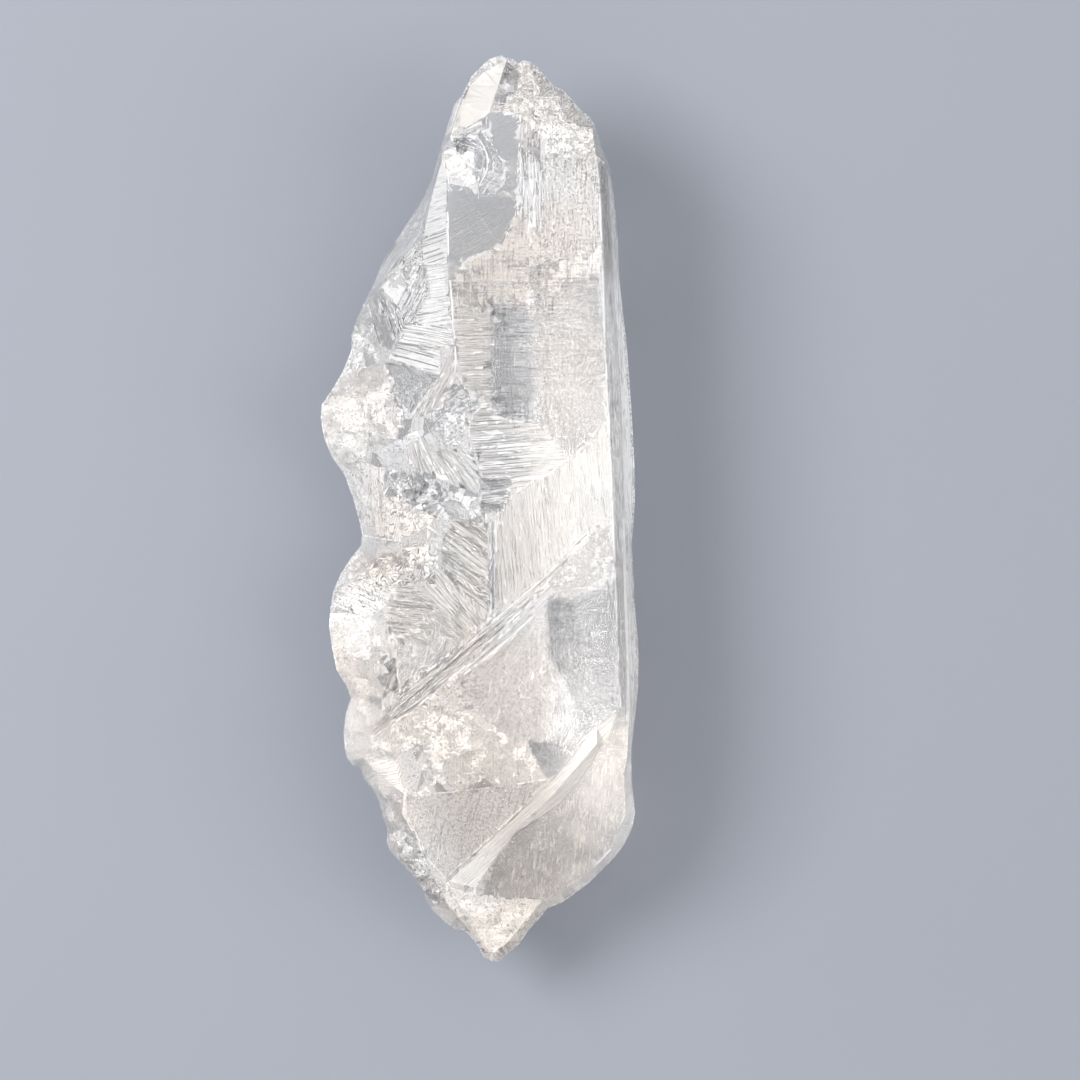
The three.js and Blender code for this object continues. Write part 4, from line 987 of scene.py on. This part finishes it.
def quartz_finish(material, clear, satin):
    """Fills one finish of the quartz: how much light goes straight in, and how satin it is at the least."""
    # Clear quartz, grown and broken. Its glassy faces bend and mirror the room. Where they are finely etched
    # or striated they scatter part of the light, which gives satin grey, and then near white.
    tree = empty_tree(material)
    mark = {name: node(tree, "ShaderNodeAttribute", attribute_name=name).outputs["Fac"] for name in MARKS}
    place = node(tree, "ShaderNodeTexCoord").outputs["Object"]
    grain = node(tree, "ShaderNodeUVMap", uv_map="grain").outputs["UV"]
    # etch pits are some hundredths of a millimetre across in real quartz, and 0.67 mm here, so that they show
    etch = node(tree, "ShaderNodeTexNoise", {"Vector": place, "Scale": scale_of(2 / 3), "Detail": 2.0})
    pits = node(tree, "ShaderNodeMapRange",
                {"Value": etch.outputs["Fac"], "From Min": 0.44, "From Max": 0.64})
    # the etching comes and goes over about 6 mm
    patch = node(tree, "ShaderNodeTexNoise", {"Vector": place, "Scale": scale_of(6.25), "Detail": 3.0})
    patchy = node(tree, "ShaderNodeMapRange",
                  {"Value": patch.outputs["Fac"], "From Min": 0.35, "From Max": 0.62,
                   "To Min": 0.16, "To Max": 0.44})
    rough = node(tree, "ShaderNodeMath", {0: mark["frost"], 1: patchy.outputs["Result"], 2: 0.4 * satin},
                 operation="MULTIPLY_ADD", use_clamp=True)
    # striations are finer than 0.1 mm in real quartz. Here the finest are 0.24 mm apart and 3 mm long, and
    # the lines that stand out 0.8 mm apart and 17 mm long, or 13 mm for those across them.
    stretch = node(tree, "ShaderNodeMapping", {"Vector": grain, "Scale": (4.2, 0.35, 1)})
    hair = node(tree, "ShaderNodeTexNoise",
                {"Vector": stretch.outputs["Vector"], "Scale": 1.0, "Detail": 2.0}, noise_dimensions="2D")
    hairy = node(tree, "ShaderNodeMapRange",
                 {"Value": hair.outputs["Fac"], "From Min": 0.4, "From Max": 0.62})
    along, across = thin_lines(tree, grain, (1.3, 0.06, 1)), thin_lines(tree, grain, (0.08, 1.3, 1))
    # the hackle of a glassy break: wavy ribs some tenths of a millimetre apart, drawn as the contour lines of
    # a noise with cells of 4 mm
    field = node(tree, "ShaderNodeTexNoise",
                 {"Vector": place, "Scale": scale_of(3.846), "Detail": 2.5, "Distortion": 0.6})
    contours = node(tree, "ShaderNodeMath", {0: field.outputs["Fac"], 1: 11.0}, operation="MULTIPLY")
    ribs = node(tree, "ShaderNodeMath", {0: contours.outputs[0], 1: 0.5}, operation="PINGPONG")
    rib = node(tree, "ShaderNodeMapRange",
               {"Value": ribs.outputs[0], "From Min": 0.03, "From Max": 0.15, "To Min": 1.0, "To Max": 0.0})
    drawn = laid_over(tree, [(along, mark["lines"]), (across, mark["cross"]),
                             (rib.outputs["Result"], mark["crinkle"])])
    streaks = laid_over(tree, [(hairy.outputs["Result"], mark["lines"])])
    speckles = laid_over(tree, [(pits.outputs["Result"], mark["speckle"])])
    relief = laid_over(tree, [(drawn, 1), (streaks, 1), (speckles, 1)])
    bump = node(tree, "ShaderNodeBump", {"Height": relief, "Strength": 0.35 + satin, "Distance": 0.3 * MM})
    # etched quartz is white, a little warmer in places some 30 mm across, and darker with painted shade in
    # its fine grooves
    region = node(tree, "ShaderNodeTexNoise", {"Vector": place, "Scale": scale_of(29.41), "Detail": 1.0})
    stain = node(tree, "ShaderNodeMapRange",
                 {"Value": region.outputs["Fac"], "From Min": 0.34, "From Max": 0.66,
                  "To Min": 0.35, "To Max": 1.35})
    warmth = laid_over(tree, [(stain.outputs["Result"], mark["warm"])])
    tint = node(tree, "ShaderNodeMix",
                {0: warmth, 6: linear("#fdfeff"), 7: linear("#fcf2e8")}, data_type="RGBA")
    # painted shade: the grooves, specks and ribs, and the mark of grey painted shade, mix the colour towards
    # a dark grey
    painted_groove_shade = laid_over(tree, [(drawn, 0.9), (streaks, 0.3), (speckles, 0.5)])
    shade = node(tree, "ShaderNodeMath", {0: painted_groove_shade, 1: 0.3 + 2.2 * satin, 2: mark["painted_shade"]},
                 operation="MULTIPLY_ADD", use_clamp=True)
    tone = node(tree, "ShaderNodeMix",
                {0: shade.outputs[0], 6: tint.outputs[2], 7: linear("#585e66")}, data_type="RGBA")
    shader = node(tree, "ShaderNodeBsdfPrincipled",
                  {"Base Color": tone.outputs[2], "Roughness": rough.outputs[0], "IOR": 1.544,
                   "Transmission Weight": clear, "Normal": bump.outputs["Normal"]})
    node(tree, "ShaderNodeOutputMaterial", {"Surface": shader.outputs[0]})


def veil_tree(material):
    """Geometry Nodes for a healed crack: flat droplets scattered in wisps over a gently waved sheet."""
    tree = bpy.data.node_groups.new("healed_crack", "GeometryNodeTree")
    given = {}
    for kind, names in {"Float": ("Width", "Length", "Droplets", "Largest", "Wave"),
                        "Vector": ("Place", "Turn"), "Int": ("Seed",)}.items():
        for name in names:
            socket = tree.interface.new_socket(name=name, in_out="INPUT", socket_type="NodeSocket" + kind)
            given[name] = socket.identifier
    tree.interface.new_socket(name="Geometry", in_out="OUTPUT", socket_type="NodeSocketGeometry")
    ask = node(tree, "NodeGroupInput").outputs
    sheet = node(tree, "GeometryNodeMeshGrid",
                 {"Size X": ask["Width"], "Size Y": ask["Length"], "Vertices X": 16, "Vertices Y": 16})
    # the crack swells and sinks over about 11 mm
    swell = node(tree, "ShaderNodeTexNoise", {"Scale": 90.0, "Detail": 1.0})
    lift = node(tree, "ShaderNodeMath", {0: swell.outputs["Fac"], 1: ask["Wave"]}, operation="MULTIPLY")
    up = node(tree, "ShaderNodeCombineXYZ", {"Z": lift.outputs[0]})
    waved = node(tree, "GeometryNodeSetPosition",
                 {"Geometry": sheet.outputs["Mesh"], "Offset": up.outputs[0]})
    area = node(tree, "ShaderNodeMath", {0: ask["Width"], 1: ask["Length"]}, operation="MULTIPLY")
    even = node(tree, "ShaderNodeMath", {0: ask["Droplets"], 1: area.outputs[0]}, operation="DIVIDE")
    # the droplets gather in wisps of about 4 mm, with none between them
    wisp = node(tree, "ShaderNodeTexNoise", {"Scale": 260.0, "Detail": 2.0})
    thick = node(tree, "ShaderNodeMapRange",
                 {"Value": wisp.outputs["Fac"], "From Min": 0.45, "From Max": 0.6,
                  "To Min": 0.0, "To Max": 2.0})
    density = node(tree, "ShaderNodeMath",
                   {0: even.outputs[0], 1: thick.outputs["Result"]}, operation="MULTIPLY")
    spots = node(tree, "GeometryNodeDistributePointsOnFaces",
                 {"Mesh": waved.outputs["Geometry"], "Density": density.outputs[0], "Seed": ask["Seed"]})
    droplet = node(tree, "GeometryNodeMeshIcoSphere", {"Radius": 1.0, "Subdivisions": 1})
    # a third of the largest droplet to all of it, each less than a third as thick as it is wide
    size = node(tree, "FunctionNodeRandomValue", {2: 0.3, 3: 1.0, 8: ask["Seed"]}, data_type="FLOAT")
    wide = node(tree, "ShaderNodeMath", {0: size.outputs[1], 1: ask["Largest"]}, operation="MULTIPLY")
    flat = node(tree, "ShaderNodeMath", {0: wide.outputs[0], 1: 0.3}, operation="MULTIPLY")
    scale = node(tree, "ShaderNodeCombineXYZ",
                 {"X": wide.outputs[0], "Y": wide.outputs[0], "Z": flat.outputs[0]})
    spin = node(tree, "FunctionNodeRandomValue",
                {0: (-0.3, -0.3, 0.0), 1: (0.3, 0.3, 6.28), 8: ask["Seed"]}, data_type="FLOAT_VECTOR")
    placed = node(tree, "GeometryNodeInstanceOnPoints",
                  {"Points": spots.outputs["Points"], "Instance": droplet.outputs["Mesh"],
                   "Rotation": spin.outputs[0], "Scale": scale.outputs[0]})
    real = node(tree, "GeometryNodeRealizeInstances", {"Geometry": placed.outputs["Instances"]})
    moved = node(tree, "GeometryNodeTransform",
                 {"Geometry": real.outputs["Geometry"], "Translation": ask["Place"], "Rotation": ask["Turn"]})
    done = node(tree, "GeometryNodeSetMaterial",
                {"Geometry": moved.outputs["Geometry"], "Material": material})
    node(tree, "NodeGroupOutput", {"Geometry": done.outputs["Geometry"]})
    return tree, given


def healed_crack(name, tree, given, **sizes):
    """One veil of droplets as a plain mesh. Lengths in sizes are metres, and turns are radians."""
    maker = in_scene(name + "_maker", bpy.data.meshes.new(name + "_maker"))
    growing = maker.modifiers.new("veil", "NODES")
    growing.node_group = tree
    for key, value in sizes.items():
        growing[given[key]] = value
    grown = bpy.data.meshes.new_from_object(maker.evaluated_get(bpy.context.evaluated_depsgraph_get()))
    maker.modifiers.remove(growing)
    bpy.data.objects.remove(maker)
    return in_scene(name, grown)


def droplet_material():
    # Droplets of water and gas sealed in a healed crack: each is a tiny silvery mirror, so a veil of them
    # looks white. Real ones are some hundredths of a millimetre across, and up to 0.3 mm here, so that they
    # show. Their tone changes over 1.1 mm, from one droplet to the next.
    material = bpy.data.materials.new("sealed_droplets")
    tree = empty_tree(material)
    place = node(tree, "ShaderNodeTexCoord").outputs["Object"]
    mottle = node(tree, "ShaderNodeTexNoise", {"Vector": place, "Scale": scale_of(1.111), "Detail": 1.0})
    tone = node(tree, "ShaderNodeMix",
                {0: mottle.outputs["Fac"], 6: linear("#ffffff"), 7: linear("#dcdfe2")}, data_type="RGBA")
    shader = node(tree, "ShaderNodeBsdfPrincipled", {"Base Color": tone.outputs[2], "Roughness": 0.3})
    node(tree, "ShaderNodeOutputMaterial", {"Surface": shader.outputs[0]})
    return material


def floor_material():
    # A sheet of matt grey paper: even, with a faint tooth, drawn 1.4 mm across so that it shows at all
    material = bpy.data.materials.new("studio_paper")
    tree = empty_tree(material)
    place = node(tree, "ShaderNodeTexCoord").outputs["Object"]
    tooth = node(tree, "ShaderNodeTexNoise", {"Vector": place, "Scale": scale_of(1.4286), "Detail": 3.0})
    bump = node(tree, "ShaderNodeBump",
                {"Height": tooth.outputs["Fac"], "Strength": 0.05, "Distance": 0.2 * MM})
    shader = node(tree, "ShaderNodeBsdfPrincipled",
                  {"Base Color": linear("#747881"), "Roughness": 0.8, "Normal": bump.outputs["Normal"]})
    node(tree, "ShaderNodeOutputMaterial", {"Surface": shader.outputs[0]})
    return material


crystal = quartz_body()
for name, (clear, satin) in FINISHES.items():
    quartz_finish(crystal.data.materials[name], clear, satin)
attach(crystal, "root")
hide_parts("crystal")

# Healed cracks inside the crystal, each a veil of sealed droplets
veils, given = veil_tree(droplet_material())
for name, sizes in {
        "veil_below_the_crown": dict(Width=0.015, Length=0.026, Droplets=420.0, Place=(0.021, 0.074, 0.047),
                                     Turn=(0.12, 0.3, 0.1), Seed=3),
        "veil_in_the_middle": dict(Width=0.03, Length=0.018, Droplets=520.0, Place=(0.0, -0.058, 0.037),
                                   Turn=(0.2, -0.25, 0.5), Seed=8),
        "veil_in_the_foot": dict(Width=0.02, Length=0.014, Droplets=260.0, Place=(0.02, -0.078, 0.03),
                                 Turn=(0.5, 0.2, 0.7), Seed=21)}.items():
    veil = healed_crack(name, veils, given, Largest=0.00015, Wave=0.006, **sizes)
    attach(veil, "root")

# Stage: a paper floor just below the crystal, a plain bright surround, soft boxes overhead, and the camera
# looking straight down
FLOOR_HALF, FLOOR_HEIGHT = 3.0, -0.0004
MIDDLE = 0.03              # height of the crystal's middle, at which the soft boxes point
floor_mesh = bpy.data.meshes.new("paper_floor")
floor_corners = [(x * FLOOR_HALF, y * FLOOR_HALF, FLOOR_HEIGHT)
                 for x, y in ((-1, -1), (1, -1), (1, 1), (-1, 1))]
floor_mesh.from_pydata(floor_corners, [], [(0, 1, 2, 3)])
floor_mesh.materials.append(floor_material())
paper_floor = in_scene("paper_floor", floor_mesh)

# The room is dark at the horizon and bright overhead. Its left side is darker, which keeps the clear panes
# darker than the etched faces.
world = bpy.data.worlds.new("studio")
bpy.context.scene.world = world
world.use_nodes = True
sky = world.node_tree
toward = node(sky, "ShaderNodeTexCoord")
split = node(sky, "ShaderNodeSeparateXYZ", {0: toward.outputs["Generated"]})
glow = node(sky, "ShaderNodeValToRGB", {"Fac": split.outputs["Z"]})
ramp = glow.color_ramp
ramp.interpolation = "EASE"
ramp.elements[0].position, ramp.elements[1].position = 0.0, 0.75
ramp.elements[0].color, ramp.elements[1].color = linear("#46484c"), linear("#fffefb")
ramp.elements.new(0.12).color = linear("#7d7e82")
ramp.elements.new(0.42).color = linear("#c7c7c9")
shaded = node(sky, "ShaderNodeMapRange",
              {"Value": split.outputs["X"], "From Min": -0.35, "From Max": -0.85,
               "To Min": 0.0, "To Max": 0.45})
room = node(sky, "ShaderNodeMix",
            {0: shaded.outputs["Result"], 6: glow.outputs["Color"], 7: linear("#6f7278")}, data_type="RGBA")
sky.links.new(room.outputs[2], sky.nodes["Background"].inputs["Color"])
sky.nodes["Background"].inputs["Strength"].default_value = 1.41


def softbox(name, place, size, power):
    """A soft box turned to the crystal. Its place and size are in metres, and its power is in watts."""
    light = bpy.data.lights.new(name, "AREA")
    light.shape = "RECTANGLE"
    light.size, light.size_y = size
    light.energy = power
    lamp = in_scene(name, light)
    lamp.location = place
    lamp.rotation_euler = (Vector((0, 0, MIDDLE)) - Vector(place)).to_track_quat("-Z", "Y").to_euler()
    lamp.visible_camera = False


softbox("soft_key", (-0.85, 0.35, 1.2), (0.7, 0.7), 27)
softbox("soft_side", (-1.5, 0.3, 0.35), (0.8, 0.25), 6)
softbox("soft_fill", (1.0, -0.2, 1.0), (0.5, 1.2), 9)

# The frame is FRAME parts across. The crystal is LENGTH of them long, and its middle is LEFT of them to the
# left of the frame's own and ABOVE of them above it. The frame is measured LENS_LEVEL metres up. The lens is
# long, so that the crystal's sides hardly show.
FRAME, LENGTH, LEFT, ABOVE = 1080, 903, 60.5, 28.5
LENS_LEVEL = 0.028
part_m = (cad_box[1][1] - cad_box[0][1]) / LENGTH
lens = bpy.data.cameras.new("camera")
lens.lens, lens.sensor_width = 200, 36
camera = in_scene("camera", lens)
lens_height = LENS_LEVEL + FRAME * part_m * lens.lens / lens.sensor_width
camera.location = (LEFT * part_m, -ABOVE * part_m, lens_height)
bpy.context.scene.camera = camera
bpy.context.scene.view_settings.view_transform = "Standard"
